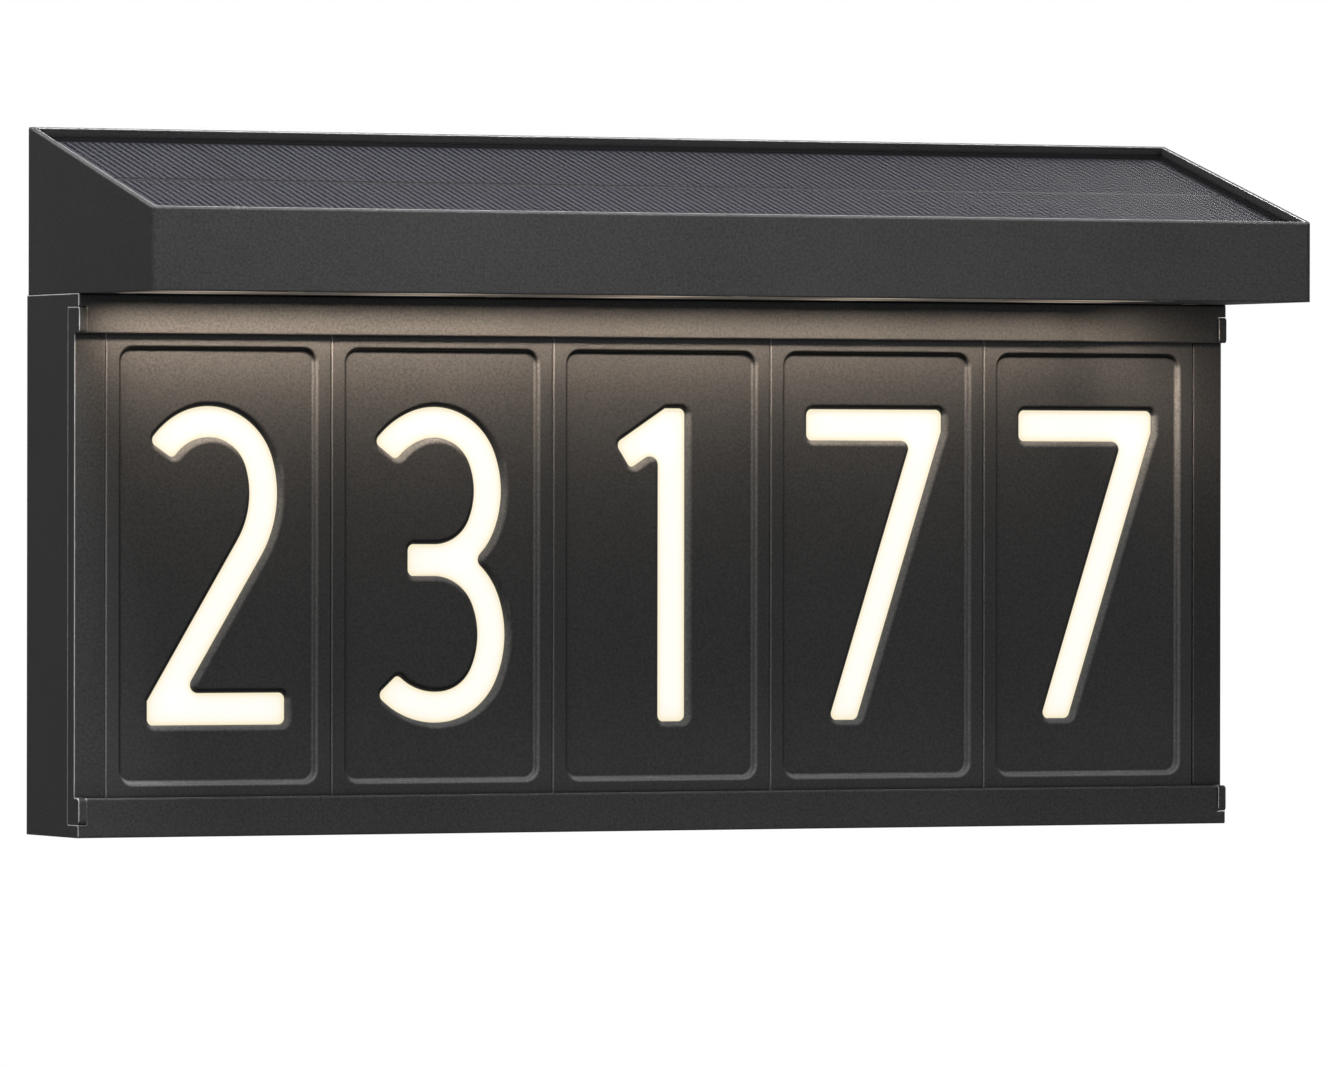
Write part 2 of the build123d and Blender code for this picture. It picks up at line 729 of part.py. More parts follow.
# ---------------------------------------------------------------- end caps
with BuildPart() as right_end_cap:
    cap_height = channel_height - 2 * cap_play
    # side wall and the strip beside the last tile
    with BuildSketch(Plane.YZ.offset(sign_width / 2)):
        with Locations((-channel_back - cap_back_play, housing_mid)):
            Rectangle(tile_face - channel_back - cap_back_play, cap_height, align=(Align.MAX, Align.CENTER))
    extrude(amount=-cap_wall)
    with BuildSketch(sign_plane(tile_face)):
        with Locations((sign_width / 2, 0)):
            Rectangle(strip_width - tile_gap / 2, cap_height, align=(Align.MAX, Align.CENTER))
    extrude(amount=-strip_thickness)
    strip_edge = right_end_cap.edges().filter_by(Axis.Z).group_by(Axis.X)[0].sort_by(Axis.Y)[0]
    fillet(strip_edge, tile_edge_radius)
    # tabs that fill the notches at the ends of the rails
    with BuildSketch(sign_plane(channel_back + cap_back_play)):
        with Locations((sign_width / 2, tab_mid), (sign_width / 2, -tab_mid)):
            Rectangle(cap_wall, tab_length, align=(Align.MAX, Align.CENTER))
    extrude(amount=housing_depth + tab_proud - channel_back - cap_back_play)
    tab_edges = right_end_cap.edges().filter_by(Axis.X).group_by(Axis.Y)[0]
    fillet(tab_edges, tab_front_radius)
    # spring arms behind the tongues of the tiles
    with BuildSketch(sign_plane(channel_back + arm_play)):
        with Locations((sign_width / 2, arm_mid), (sign_width / 2, -arm_mid)):
            Rectangle(cap_wall + arm_length, arm_height, align=(Align.MAX, Align.CENTER))
    extrude(amount=tile_face - tongue_thickness - channel_back - 2 * arm_play)
right_end_cap.part.label = "right_end_cap"
export_step(right_end_cap.part, "parts/right_end_cap.step")

with BuildPart() as left_end_cap:
    mirror(right_end_cap.part, about=Plane.YZ)
left_end_cap.part.label = "left_end_cap"
export_step(left_end_cap.part, "parts/left_end_cap.step")


# ---------------------------------------------------------------- rear cover and battery bay
with BuildPart() as rear_cover:
    with BuildSketch(sign_plane(0)):
        Rectangle(chamber_width - 2 * cover_play, chamber_height - 2 * cover_play)
    extrude(amount=cover_thickness)
    # keyholes with a closed pocket behind each
    pocket_length = keyhole_rise + keyhole_pocket_width
    pocket_places = [(x * keyhole_spacing / 2, keyhole_rise / 2) for x in (-1, 1)]
    with BuildSketch(elevation(cover_thickness)):
        with Locations(*pocket_places):
            Rectangle(keyhole_pocket_width, pocket_length)
        offset(amount=keyhole_pocket_wall, kind=Kind.INTERSECTION)
    extrude(amount=keyhole_pocket_depth + keyhole_pocket_wall)
    with BuildSketch(elevation(cover_thickness)):
        with Locations(*pocket_places):
            Rectangle(keyhole_pocket_width, pocket_length)
    extrude(amount=keyhole_pocket_depth, mode=Mode.SUBTRACT)
    with BuildSketch(elevation(0)):
        with Locations((-keyhole_spacing / 2, 0), (keyhole_spacing / 2, 0)):
            Circle(keyhole_entry_radius)
        with Locations(*pocket_places):
            SlotCenterToCenter(keyhole_rise, 2 * keyhole_neck_radius, rotation=90)
    extrude(amount=cover_thickness, mode=Mode.SUBTRACT)
    # battery bay: seat for the door, box and screw bosses
    with BuildSketch(elevation(cover_thickness)):
        with Locations((0, bay_z)):
            Rectangle(door_length, door_height)
        offset(amount=door_play + seat_wall, kind=Kind.INTERSECTION)
    extrude(amount=rebate_depth + seat_thickness - cover_thickness)
    with BuildSketch(elevation(cover_thickness)):
        with Locations((0, bay_z)):
            Rectangle(bay_length + 2 * bay_wall, bay_height + 2 * bay_wall)
    extrude(amount=bay_floor + bay_wall - cover_thickness)
    door_screw_places = [(-door_screw_x, bay_z), (door_screw_x, bay_z)]
    with BuildSketch(elevation(cover_thickness)):
        with Locations(*door_screw_places):
            Circle(boss_radius)
    extrude(amount=door_screw_length + screw_clearance + bay_wall - cover_thickness)
    with BuildSketch(elevation(0)):
        with Locations((0, bay_z)):
            Rectangle(bay_length, bay_height)
    extrude(amount=bay_floor, mode=Mode.SUBTRACT)
    with BuildSketch(elevation(0)):
        with Locations((0, bay_z)):
            Rectangle(door_length + 2 * door_play, door_height + 2 * door_play)
    extrude(amount=rebate_depth, mode=Mode.SUBTRACT)
    with BuildSketch(elevation(0)):
        with Locations(*door_screw_places):
            Circle(screw_radius + screw_play)
    extrude(amount=door_screw_length + screw_clearance, mode=Mode.SUBTRACT)
    # way out for the battery lead
    with BuildSketch(Plane.YZ.offset(bay_length / 2)):
        with Locations((-lead_depth, bay_z)):
            Circle(lead_radius + lead_fit)
    extrude(amount=bay_wall, mode=Mode.SUBTRACT)
    add(countersunk_holes(cover_screw_places, sign_plane(0), cover_thickness), mode=Mode.SUBTRACT)
rear_cover.part.label = "rear_cover"
export_step(rear_cover.part, "parts/rear_cover.step")

rear_cover_screws = countersunk_screws(cover_screw_places, sign_plane(0), cover_screw_length)
rear_cover_screws.part.label = "rear_cover_screws"
export_step(rear_cover_screws.part, "parts/rear_cover_screws.step")

with BuildPart() as rear_cover_gasket:
    gasket_outer_width = chamber_width - 2 * cover_play
    gasket_outer_height = chamber_height - 2 * cover_play
    with BuildSketch(sign_plane(cover_thickness)):
        Rectangle(gasket_outer_width, gasket_outer_height)
        Rectangle(
            gasket_outer_width - 2 * gasket_width,
            gasket_outer_height - 2 * gasket_width,
            mode=Mode.SUBTRACT,
        )
    extrude(amount=gasket_thickness)
rear_cover_gasket.part.label = "rear_cover_gasket"
export_step(rear_cover_gasket.part, "parts/rear_cover_gasket.step")

with BuildPart() as battery_door:
    with BuildSketch(elevation(0)):
        with Locations((0, bay_z)):
            Rectangle(door_length, door_height)
    extrude(amount=door_thickness)
    add(countersunk_holes(door_screw_places, elevation(0), door_thickness), mode=Mode.SUBTRACT)
battery_door.part.label = "battery_door"
export_step(battery_door.part, "parts/battery_door.step")

with BuildPart() as battery_door_seal:
    seal_width = bay_length + 2 * door_seal_play
    seal_height = bay_height + 2 * door_seal_play
    with BuildSketch(elevation(door_thickness)):
        with Locations((0, bay_z)):
            Rectangle(seal_width + 2 * door_seal_width, seal_height + 2 * door_seal_width)
            Rectangle(seal_width, seal_height, mode=Mode.SUBTRACT)
    extrude(amount=door_seal_thickness)
battery_door_seal.part.label = "battery_door_seal"
export_step(battery_door_seal.part, "parts/battery_door_seal.step")

battery_door_screws = countersunk_screws(door_screw_places, elevation(0), door_screw_length)
battery_door_screws.part.label = "battery_door_screws"
export_step(battery_door_screws.part, "parts/battery_door_screws.step")

with BuildPart() as battery_cells:
    # two cells side by side, turned end for end
    for side in (-1, 1):
        with BuildSketch(Plane.YZ.offset(-side * cell_length / 2)):
            with Locations((-cell_depth, bay_z + side * cell_half_pitch)):
                Circle(cell_radius)
        extrude(amount=side * (cell_length - cell_button))
    chamfer(battery_cells.edges(), cell_edge)
    for side in (-1, 1):
        with BuildSketch(Plane.YZ.offset(side * (cell_length / 2 - cell_button))):
            with Locations((-cell_depth, bay_z + side * cell_half_pitch)):
                Circle(cell_button_radius)
        extrude(amount=side * cell_button)
battery_cells.part.label = "battery_cells"
export_step(battery_cells.part, "parts/battery_cells.step")

with BuildPart() as battery_contacts:
    wall_x = bay_length / 2
    plate_x = wall_x - contact_thickness
    leaf_x = cell_length / 2 + contact_leaf / 2 + leaf_reach / 2
    contact_back = elevation(cell_depth - contact_width / 2)
    # bridge at the left, two plates at the right with a solder tab beside the lead
    with BuildSketch(contact_back):
        with Locations((-wall_x, bay_z)):
            Rectangle(contact_thickness, 2 * cell_half_pitch + contact_width, align=(Align.MIN, Align.CENTER))
        with Locations((wall_x, bay_z - cell_half_pitch), (wall_x, bay_z + cell_half_pitch)):
            Rectangle(contact_thickness, contact_width, align=(Align.MAX, Align.CENTER))
    extrude(amount=contact_width)
    tab_reach = cell_half_pitch - lead_radius - lead_fit
    for side in (-1, 1):
        with BuildSketch(elevation(lead_depth - lead_radius)):
            with Locations((wall_x, bay_z + side * (cell_half_pitch - tab_reach / 2))):
                Rectangle(contact_thickness, tab_reach, align=(Align.MAX, Align.CENTER))
        extrude(amount=2 * lead_radius)
        for cell in (-1, 1):
            middle = bay_z + cell * cell_half_pitch
            with BuildSketch(elevation(cell_depth - leaf_width / 2)):
                with BuildLine():
                    ThreePointArc(
                        (side * plate_x, middle - leaf_width / 2),
                        (side * leaf_x, middle),
                        (side * plate_x, middle + leaf_width / 2),
                    )
                trace(line_width=contact_leaf)
            extrude(amount=leaf_width)
battery_contacts.part.label = "battery_contacts"
export_step(battery_contacts.part, "parts/battery_contacts.step")


# ---------------------------------------------------------------- light tray and what lies in it
with BuildPart() as light_tray:
    with BuildSketch(sign_plane(tray_back)):
        Rectangle(tray_width, tray_height)
    extrude(amount=tray_front - tray_back)
    with BuildSketch(sign_plane(tray_back + tray_floor)):
        Rectangle(tray_inner_width, tray_inner_height)
    extrude(amount=tray_front - tray_back - tray_floor, mode=Mode.SUBTRACT)
    # ears for the screws, and posts for the control board
    with BuildSketch(sign_plane(tray_back)):
        with Locations(*tray_screw_places):
            Circle(ear_radius)
        with GridLocations(tray_screw_spacing, tray_height + ear_radius, 3, 2):
            Rectangle(2 * ear_radius, ear_radius)
    extrude(amount=tray_floor)
    with BuildSketch(sign_plane(tray_back)):
        with Locations(*tray_screw_places):
            Circle(screw_radius + screw_clearance)
    extrude(amount=tray_floor, mode=Mode.SUBTRACT)
    with BuildSketch(elevation(board_back + board_thickness)):
        with Locations(*board_holes):
            Circle(post_radius)
    extrude(amount=board_standoff)
    with BuildSketch(elevation(board_back + board_thickness)):
        with Locations(*board_holes):
            Circle(screw_radius + screw_play)
    extrude(amount=board_screw_length - board_thickness + screw_play, mode=Mode.SUBTRACT)
    # slot for the tail of the strip board
    with BuildSketch(elevation(tray_back)):
        with Locations((strip_tail_x, strip_board_z)):
            Rectangle(strip_tail_width + 2 * sheet_play, strip_board_thickness + 2 * sheet_play)
    extrude(amount=tray_floor, mode=Mode.SUBTRACT)
light_tray.part.label = "light_tray"
export_step(light_tray.part, "parts/light_tray.step")

tray_screws = pan_head_screws(tray_screw_places, sign_plane(tray_back), tray_screw_length)
tray_screws.part.label = "tray_screws"
export_step(tray_screws.part, "parts/tray_screws.step")

sheet_width = tray_inner_width - 2 * sheet_play
sheet_bottom = -tray_inner_height / 2 + sheet_play
guide_top = tray_inner_height / 2 - strip_board_thickness - edge_led_height - edge_led_gap
guide_height = guide_top - sheet_bottom
guide_back = tray_back + tray_floor + reflector_thickness
sheets = (
    ("reflector_sheet", tray_back + tray_floor, reflector_thickness),
    ("light_guide", guide_back, guide_thickness),
    ("diffuser_sheet", guide_back + guide_thickness, diffuser_thickness),
)
for sheet_name, sheet_back, sheet_thickness in sheets:
    with BuildPart() as sheet:
        with BuildSketch(sign_plane(sheet_back)):
            with Locations((0, sheet_bottom)):
                Rectangle(sheet_width, guide_height, align=(Align.CENTER, Align.MIN))
        extrude(amount=sheet_thickness)
    sheet.part.label = sheet_name
    export_step(sheet.part, f"parts/{sheet_name}.step")

with BuildPart() as led_strip_board:
    strip_front = guide_back + guide_thickness
    with BuildSketch(plan(strip_board_z - strip_board_thickness / 2)):
        with Locations((0, -tray_back - tray_floor)):
            Rectangle(sheet_width, strip_front - tray_back - tray_floor, align=(Align.CENTER, Align.MAX))
        with Locations((strip_tail_x, -tray_back - tray_floor)):
            Rectangle(strip_tail_width, tray_floor + strip_tail_reach, align=(Align.CENTER, Align.MIN))
    extrude(amount=strip_board_thickness)
led_strip_board.part.label = "led_strip_board"
export_step(led_strip_board.part, "parts/led_strip_board.step")

with BuildPart() as led_strip_leds:
    with BuildSketch(plan(strip_board_z - strip_board_thickness / 2)):
        with Locations((0, -guide_back - guide_thickness / 2)):
            with GridLocations(edge_led_spacing, 1, edge_led_count, 1):
                Rectangle(edge_led_length, edge_led_width)
    extrude(amount=-edge_led_height)
led_strip_leds.part.label = "led_strip_leds"
export_step(led_strip_leds.part, "parts/led_strip_leds.step")


# ---------------------------------------------------------------- control board and mode button
with BuildPart() as control_board:
    with BuildSketch(elevation(board_back)):
        with Locations((board_x, board_z)):
            Rectangle(board_width, board_height)
        with Locations(*board_holes):
            Circle(screw_radius + screw_clearance, mode=Mode.SUBTRACT)
    extrude(amount=board_thickness)
control_board.part.label = "control_board"
export_step(control_board.part, "parts/control_board.step")

board_screws = pan_head_screws(board_holes, elevation(board_back), board_screw_length)
board_screws.part.label = "board_screws"
export_step(board_screws.part, "parts/board_screws.step")

with BuildPart() as board_components:
    # connectors for the leads, along the top edge
    with BuildSketch(elevation(board_back)):
        with Locations((battery_lead_x, connector_top), (strip_tail_x, connector_top)):
            Rectangle(connector_width, connector_length, align=(Align.CENTER, Align.MAX))
        with Locations((grommet_x, connector_top)):
            Rectangle(connector_width + lead_spacing, connector_length, align=(Align.CENTER, Align.MAX))
    extrude(amount=-connector_height)
    # controller and charger chips
    with BuildSketch(elevation(board_back)):
        with Locations((board_x, board_z)):
            with GridLocations(chip_spacing, 1, 2, 1):
                Rectangle(chip_size, chip_size)
    extrude(amount=-chip_height)
    # coil and capacitor
    with BuildSketch(elevation(board_back)):
        with Locations((board_x, board_z)):
            with GridLocations(coil_spacing, 1, 2, 1):
                Circle(coil_radius)
    extrude(amount=-coil_height)
board_components.part.label = "board_components"
export_step(board_components.part, "parts/board_components.step")

plunger_tip = board_bottom - plunger_length
with BuildPart() as mode_switch:
    with BuildSketch(plan(board_bottom)):
        with Locations((board_x, -board_back)):
            Rectangle(switch_width, switch_height, align=(Align.CENTER, Align.MIN))
    extrude(amount=switch_length)
    with BuildSketch(plan(board_bottom)):
        with Locations((board_x, -button_depth)):
            Circle(plunger_radius)
    extrude(amount=-plunger_length)
mode_switch.part.label = "mode_switch"
export_step(mode_switch.part, "parts/mode_switch.step")

with BuildPart() as mode_button:
    flange_bottom = housing_bottom + housing_wall
    cap_bottom = housing_bottom + button_set_back
    stem_top = plunger_tip - button_travel - button_gap
    with BuildSketch(plan(cap_bottom)):
        with Locations((board_x, -button_depth)):
            Circle(button_radius)
    extrude(amount=flange_bottom - cap_bottom)
    chamfer(mode_button.edges().group_by(Axis.Z)[0], button_chamfer)
    with BuildSketch(plan(flange_bottom)):
        with Locations((board_x, -button_depth)):
            Circle(button_flange_radius)
    extrude(amount=button_flange)
    with BuildSketch(plan(flange_bottom + button_flange)):
        with Locations((board_x, -button_depth)):
            Circle(button_stem_radius)
    extrude(amount=stem_top - flange_bottom - button_flange)
mode_button.part.label = "mode_button"
export_step(mode_button.part, "parts/mode_button.step")

with BuildPart() as button_seal:
    seal_inner = button_flange_radius + button_seal_gap
    with BuildSketch(plan(housing_bottom + housing_wall)):
        with Locations((board_x, -button_depth)):
            Circle(seal_inner + button_seal_width)
            Circle(seal_inner, mode=Mode.SUBTRACT)
    extrude(amount=button_seal_height)
button_seal.part.label = "button_seal"
export_step(button_seal.part, "parts/button_seal.step")


# ---------------------------------------------------------------- hood
with BuildPart() as hood_room:
    # room inside the hood, with the screw bosses left standing
    with BuildSketch(Plane.YZ):
        with BuildLine():
            Polyline(
                (-hood_depth + hood_wall, seam_z),
                (-hood_depth + hood_wall, roof_height(hood_depth - hood_wall, roof_depth)),
                (-hood_wall_gap - hood_wall, roof_height(hood_wall_gap + hood_wall, roof_depth)),
                (-hood_wall_gap - hood_wall, seam_z),
                close=True,
            )
        make_face()
    extrude(amount=hood_width / 2 - hood_wall, both=True)
    with BuildSketch(plan(base_top)):
        with Locations(*hood_screw_places):
            Circle(hood_boss_radius)
        with Locations(*base_screw_places):
            Circle(base_boss_radius)
    extrude(amount=hood_back_height, mode=Mode.SUBTRACT)
    with BuildSketch(plan(downlight_board_z + board_thickness)):
        with Locations(*downlight_screw_places):
            Circle(base_boss_radius)
    extrude(amount=hood_back_height, mode=Mode.SUBTRACT)

with BuildPart() as hood_shell:
    with BuildSketch(Plane.YZ):
        with BuildLine():
            Polyline(
                (-hood_depth, seam_z),
                (-hood_depth, seam_z + hood_front_height),
                (-hood_wall_gap, seam_z + hood_back_height),
                (-hood_wall_gap, seam_z),
                close=True,
            )
        make_face()
    extrude(amount=hood_width / 2, both=True)
    front_corners = hood_shell.edges().filter_by(Axis.Z).group_by(Axis.Y)[0]
    fillet(front_corners, hood_corner_radius)
    rim_edges = hood_shell.faces().filter_by(roof_plane(0)).edges()
    fillet(rim_edges, hood_edge_radius)
    with BuildSketch(roof_plane(0)):
        with Locations((0, slope_length / 2)):
            Rectangle(recess_width, recess_length)
    extrude(amount=-recess_depth, mode=Mode.SUBTRACT)
    add(hood_room.part, mode=Mode.SUBTRACT)
    # pilot holes for the three groups of screws, and the way in for the panel lead
    with BuildSketch(plan(base_top)):
        with Locations(*hood_screw_places):
            Circle(screw_radius + screw_play)
    extrude(amount=hood_screw_length - housing_wall - base_thickness + screw_play, mode=Mode.SUBTRACT)
    with BuildSketch(plan(base_top)):
        with Locations(*base_screw_places):
            Circle(screw_radius + screw_play)
    extrude(amount=base_screw_length - base_thickness + screw_play, mode=Mode.SUBTRACT)
    with BuildSketch(plan(downlight_board_z + board_thickness)):
        with Locations(*downlight_screw_places):
            Circle(screw_radius + screw_play)
    extrude(amount=downlight_screw_length - board_thickness + screw_play, mode=Mode.SUBTRACT)
    with BuildSketch(plan(base_top)):
        with Locations((panel_lead_x, -panel_lead_depth)):
            Circle(lead_radius + lead_fit)
    extrude(amount=hood_back_height, mode=Mode.SUBTRACT)
hood_shell.part.label = "hood_shell"
export_step(hood_shell.part, "parts/hood_shell.step")

with BuildPart() as hood_base:
    with BuildSketch(plan(seam_z)):
        with Locations((0, -base_back)):
            Rectangle(base_width, base_front - base_back, align=(Align.CENTER, Align.MAX))
        with Locations((downlight_x, -downlight_depth)):
            Rectangle(downlight_length, downlight_width, mode=Mode.SUBTRACT)
        with Locations((grommet_x, -lead_depth)):
            Circle(grommet_radius, mode=Mode.SUBTRACT)
        with Locations(*hood_screw_places):
            Circle(screw_radius + screw_clearance, mode=Mode.SUBTRACT)
    extrude(amount=base_thickness)
    add(countersunk_holes(base_screw_places, plan(seam_z), base_thickness), mode=Mode.SUBTRACT)
hood_base.part.label = "hood_base"
export_step(hood_base.part, "parts/hood_base.step")

hood_base_screws = countersunk_screws(base_screw_places, plan(seam_z), base_screw_length)
hood_base_screws.part.label = "hood_base_screws"
export_step(hood_base_screws.part, "parts/hood_base_screws.step")

hood_screws = pan_head_screws(hood_screw_places, plan(seam_z - housing_wall), hood_screw_length)
hood_screws.part.label = "hood_screws"
export_step(hood_screws.part, "parts/hood_screws.step")


# ---------------------------------------------------------------- solar panel in the hood's recess
def panel_layer(depth, thickness, border=0.0):
    """Plate of the solar panel, from a depth below the rim upwards."""
    with BuildPart() as layer:
        with BuildSketch(roof_plane(depth)):
            with Locations((0, slope_length / 2)):
                Rectangle(panel_width, panel_length)
                if border:
                    Rectangle(panel_width - 2 * border, panel_length - 2 * border, mode=Mode.SUBTRACT)
        extrude(amount=thickness)
    return layer


backing_depth = recess_depth - tape_thickness
cells_depth = backing_depth - backing_thickness

panel_adhesive = panel_layer(recess_depth, tape_thickness, border=tape_width)
panel_adhesive.part.label = "panel_adhesive"
export_step(panel_adhesive.part, "parts/panel_adhesive.step")

solar_panel_backing = panel_layer(backing_depth, backing_thickness)
solar_panel_backing.part.label = "solar_panel_backing"
export_step(solar_panel_backing.part, "parts/solar_panel_backing.step")

with BuildPart() as solar_cells:
    cell_width = (cells_width - (panel_columns - 1) * column_gap) / panel_columns
    cell_height = (cells_length - (panel_rows - 1) * row_gap) / panel_rows
    with BuildSketch(roof_plane(cells_depth)):
        with Locations((0, slope_length / 2)):
            with GridLocations(cell_width + column_gap, cell_height + row_gap, panel_columns, panel_rows):
                Rectangle(cell_width, cell_height)
    extrude(amount=cell_thickness)
solar_cells.part.label = "solar_cells"
export_step(solar_cells.part, "parts/solar_cells.step")

with BuildPart() as solar_panel_cover:
    with BuildSketch(roof_plane(cells_depth)):
        with Locations((0, slope_length / 2)):
            Rectangle(panel_width, panel_length)
    extrude(amount=cell_thickness + glass_thickness)
    with BuildSketch(roof_plane(cells_depth)):
        with Locations((0, slope_length / 2)):
            Rectangle(cells_width, cells_length)
    extrude(amount=cell_thickness, mode=Mode.SUBTRACT)
solar_panel_cover.part.label = "solar_panel_cover"
export_step(solar_panel_cover.part, "parts/solar_panel_cover.step")


# ---------------------------------------------------------------- downlight in the base of the hood
with BuildPart() as downlight_lens:
    with BuildSketch(plan(seam_z)):
        with Locations((downlight_x, -downlight_depth)):
            Rectangle(downlight_length - 2 * downlight_fit, downlight_width - 2 * downlight_fit)
    extrude(amount=base_thickness)
    with BuildSketch(plan(base_top)):
        with Locations((downlight_x, -downlight_depth)):
            Rectangle(downlight_length + 2 * downlight_flange, downlight_width + 2 * downlight_flange)
    extrude(amount=downlight_flange_thickness)
downlight_lens.part.label = "downlight_lens"
export_step(downlight_lens.part, "parts/downlight_lens.step")

with BuildPart() as downlight_board:
    with BuildSketch(plan(downlight_board_z)):
        with Locations((downlight_x, -downlight_depth)):
            Rectangle(downlight_board_length, downlight_board_width)
        with Locations(*downlight_screw_places):
            Circle(screw_radius + screw_clearance, mode=Mode.SUBTRACT)
    extrude(amount=board_thickness)
downlight_board.part.label = "downlight_board"
export_step(downlight_board.part, "parts/downlight_board.step")

downlight_screws = pan_head_screws(downlight_screw_places, plan(downlight_board_z), downlight_screw_length)
downlight_screws.part.label = "downlight_screws"
export_step(downlight_screws.part, "parts/downlight_screws.step")

with BuildPart() as downlight_leds_group:
    with BuildSketch(plan(downlight_board_z)):
        with Locations((downlight_x, -downlight_depth)):
            with GridLocations(tile_pitch, downlight_row_spacing, downlight_leds, downlight_led_rows):
                Rectangle(downlight_led_size, downlight_led_size)
    extrude(amount=-downlight_led_height)
downlight_leds_group.part.label = "downlight_leds"
export_step(downlight_leds_group.part, "parts/downlight_leds.step")


# ---------------------------------------------------------------- grommet and leads
with BuildPart() as cable_grommet:
    lead_holes = [(panel_lead_x, -lead_depth), (downlight_lead_x, -lead_depth)]
    with BuildSketch(plan(seam_z - housing_wall - grommet_flange)):
        with Locations((grommet_x, -lead_depth)):
            Circle(grommet_radius + grommet_flange)
        with Locations(*lead_holes):
            Circle(lead_radius + lead_fit, mode=Mode.SUBTRACT)
    extrude(amount=grommet_flange)
    with BuildSketch(plan(seam_z - housing_wall)):
        with Locations((grommet_x, -lead_depth)):
            Circle(grommet_radius - grommet_fit)
        with Locations(*lead_holes):
            Circle(lead_radius + lead_fit, mode=Mode.SUBTRACT)
    extrude(amount=housing_wall + base_thickness)
    with BuildSketch(plan(base_top)):
        with Locations((grommet_x, -lead_depth)):
            Circle(grommet_radius + grommet_flange)
        with Locations(*lead_holes):
            Circle(lead_radius + lead_fit, mode=Mode.SUBTRACT)
    extrude(amount=grommet_flange)
cable_grommet.part.label = "cable_grommet"
export_step(cable_grommet.part, "parts/cable_grommet.step")

panel_lead_top = roof_height(panel_lead_depth, backing_depth) - lead_radius * tan(slope)
panel_lead = lead(
    [
        (panel_lead_x, -panel_lead_depth, panel_lead_top),
        (panel_lead_x, -panel_lead_depth, panel_lead_top - panel_lead_drop),
        (panel_lead_x, -lead_depth, panel_lead_top - panel_lead_drop),
        (panel_lead_x, -lead_depth, connector_top),
    ],
    panel_lead_bend,
)
panel_lead.part.label = "panel_lead"
export_step(panel_lead.part, "parts/panel_lead.step")

downlight_board_top = downlight_board_z + board_thickness
downlight_lead = lead(
    [
        (downlight_lead_x, -downlight_lead_depth, downlight_board_top),
        (downlight_lead_x, -downlight_lead_depth, downlight_board_top + downlight_lead_rise),
        (downlight_lead_x, -lead_depth, downlight_board_top + downlight_lead_rise),
        (downlight_lead_x, -lead_depth, connector_top),
    ],
    downlight_lead_bend,
)
downlight_lead.part.label = "downlight_lead"
export_step(downlight_lead.part, "parts/downlight_lead.step")

led_strip_lead = lead(
    [
        (strip_tail_x, -tray_back + strip_tail_reach, strip_board_z),
        (strip_tail_x, -lead_depth, strip_board_z),
        (strip_tail_x, -lead_depth, connector_top),
    ],
    strip_lead_bend,
)
led_strip_lead.part.label = "led_strip_lead"
export_step(led_strip_lead.part, "parts/led_strip_lead.step")

battery_lead = lead(
    [
        (bay_length / 2 - contact_thickness, -lead_depth, bay_z),
        (battery_lead_x, -lead_depth, bay_z),
        (battery_lead_x, -lead_depth, connector_top),
    ],
    battery_lead_bend,
)
battery_lead.part.label = "battery_lead"
export_step(battery_lead.part, "parts/battery_lead.step")
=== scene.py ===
import json
import math

import bpy
from mathutils import Matrix, Vector


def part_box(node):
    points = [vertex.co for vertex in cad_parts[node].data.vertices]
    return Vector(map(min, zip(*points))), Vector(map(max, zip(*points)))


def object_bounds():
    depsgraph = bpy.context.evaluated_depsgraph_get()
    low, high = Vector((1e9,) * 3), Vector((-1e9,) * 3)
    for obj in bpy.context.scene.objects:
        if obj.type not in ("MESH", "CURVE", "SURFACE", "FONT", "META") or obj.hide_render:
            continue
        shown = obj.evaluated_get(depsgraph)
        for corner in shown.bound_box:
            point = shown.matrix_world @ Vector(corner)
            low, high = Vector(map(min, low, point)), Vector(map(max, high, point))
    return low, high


# Illuminated house number sign with a solar hood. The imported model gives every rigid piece; this
# script gives them their finishes, the light of their lamps, the studio and the camera.

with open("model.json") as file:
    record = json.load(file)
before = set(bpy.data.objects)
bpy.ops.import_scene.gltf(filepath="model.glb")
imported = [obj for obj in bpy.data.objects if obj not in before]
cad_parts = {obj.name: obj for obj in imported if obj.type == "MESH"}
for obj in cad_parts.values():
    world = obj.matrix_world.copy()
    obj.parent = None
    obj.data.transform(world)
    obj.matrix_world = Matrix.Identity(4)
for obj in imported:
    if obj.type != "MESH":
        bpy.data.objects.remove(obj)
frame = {"nodes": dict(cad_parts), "record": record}
cad_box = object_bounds()
nodes = frame["nodes"]
slot_of = {row["node"]: row["material_slot"] for row in frame["record"]["subparts"]}

# ---------------------------------------------------------------- sizes in metres, tones and lights
MM = 0.001
PHOTO_WIDTH = 1331                        # pixels
SENSOR_WIDTH = 36.0                       # millimetres
FOCAL_PIXELS = 10644.3                    # focal length in pixels of the photograph
CAMERA_PLACE = (-1.4306, -3.0839, -0.0283)
CAMERA_YAW = 25.187                       # degrees, towards +X
CAMERA_PITCH = -0.179
CAMERA_ROLL = 0.086

TILE_PITCH = 75.88 * MM                   # from tile to tile, and from lamp to lamp above them
LED_ROW_SPACING = 26.0 * MM               # between the two rows of lamps under the hood
FINGER_PITCH = 2.43 * MM                  # printed lines on the solar cells
FINGER_EDGES = (0.25 * FINGER_PITCH, 0.42 * FINGER_PITCH)

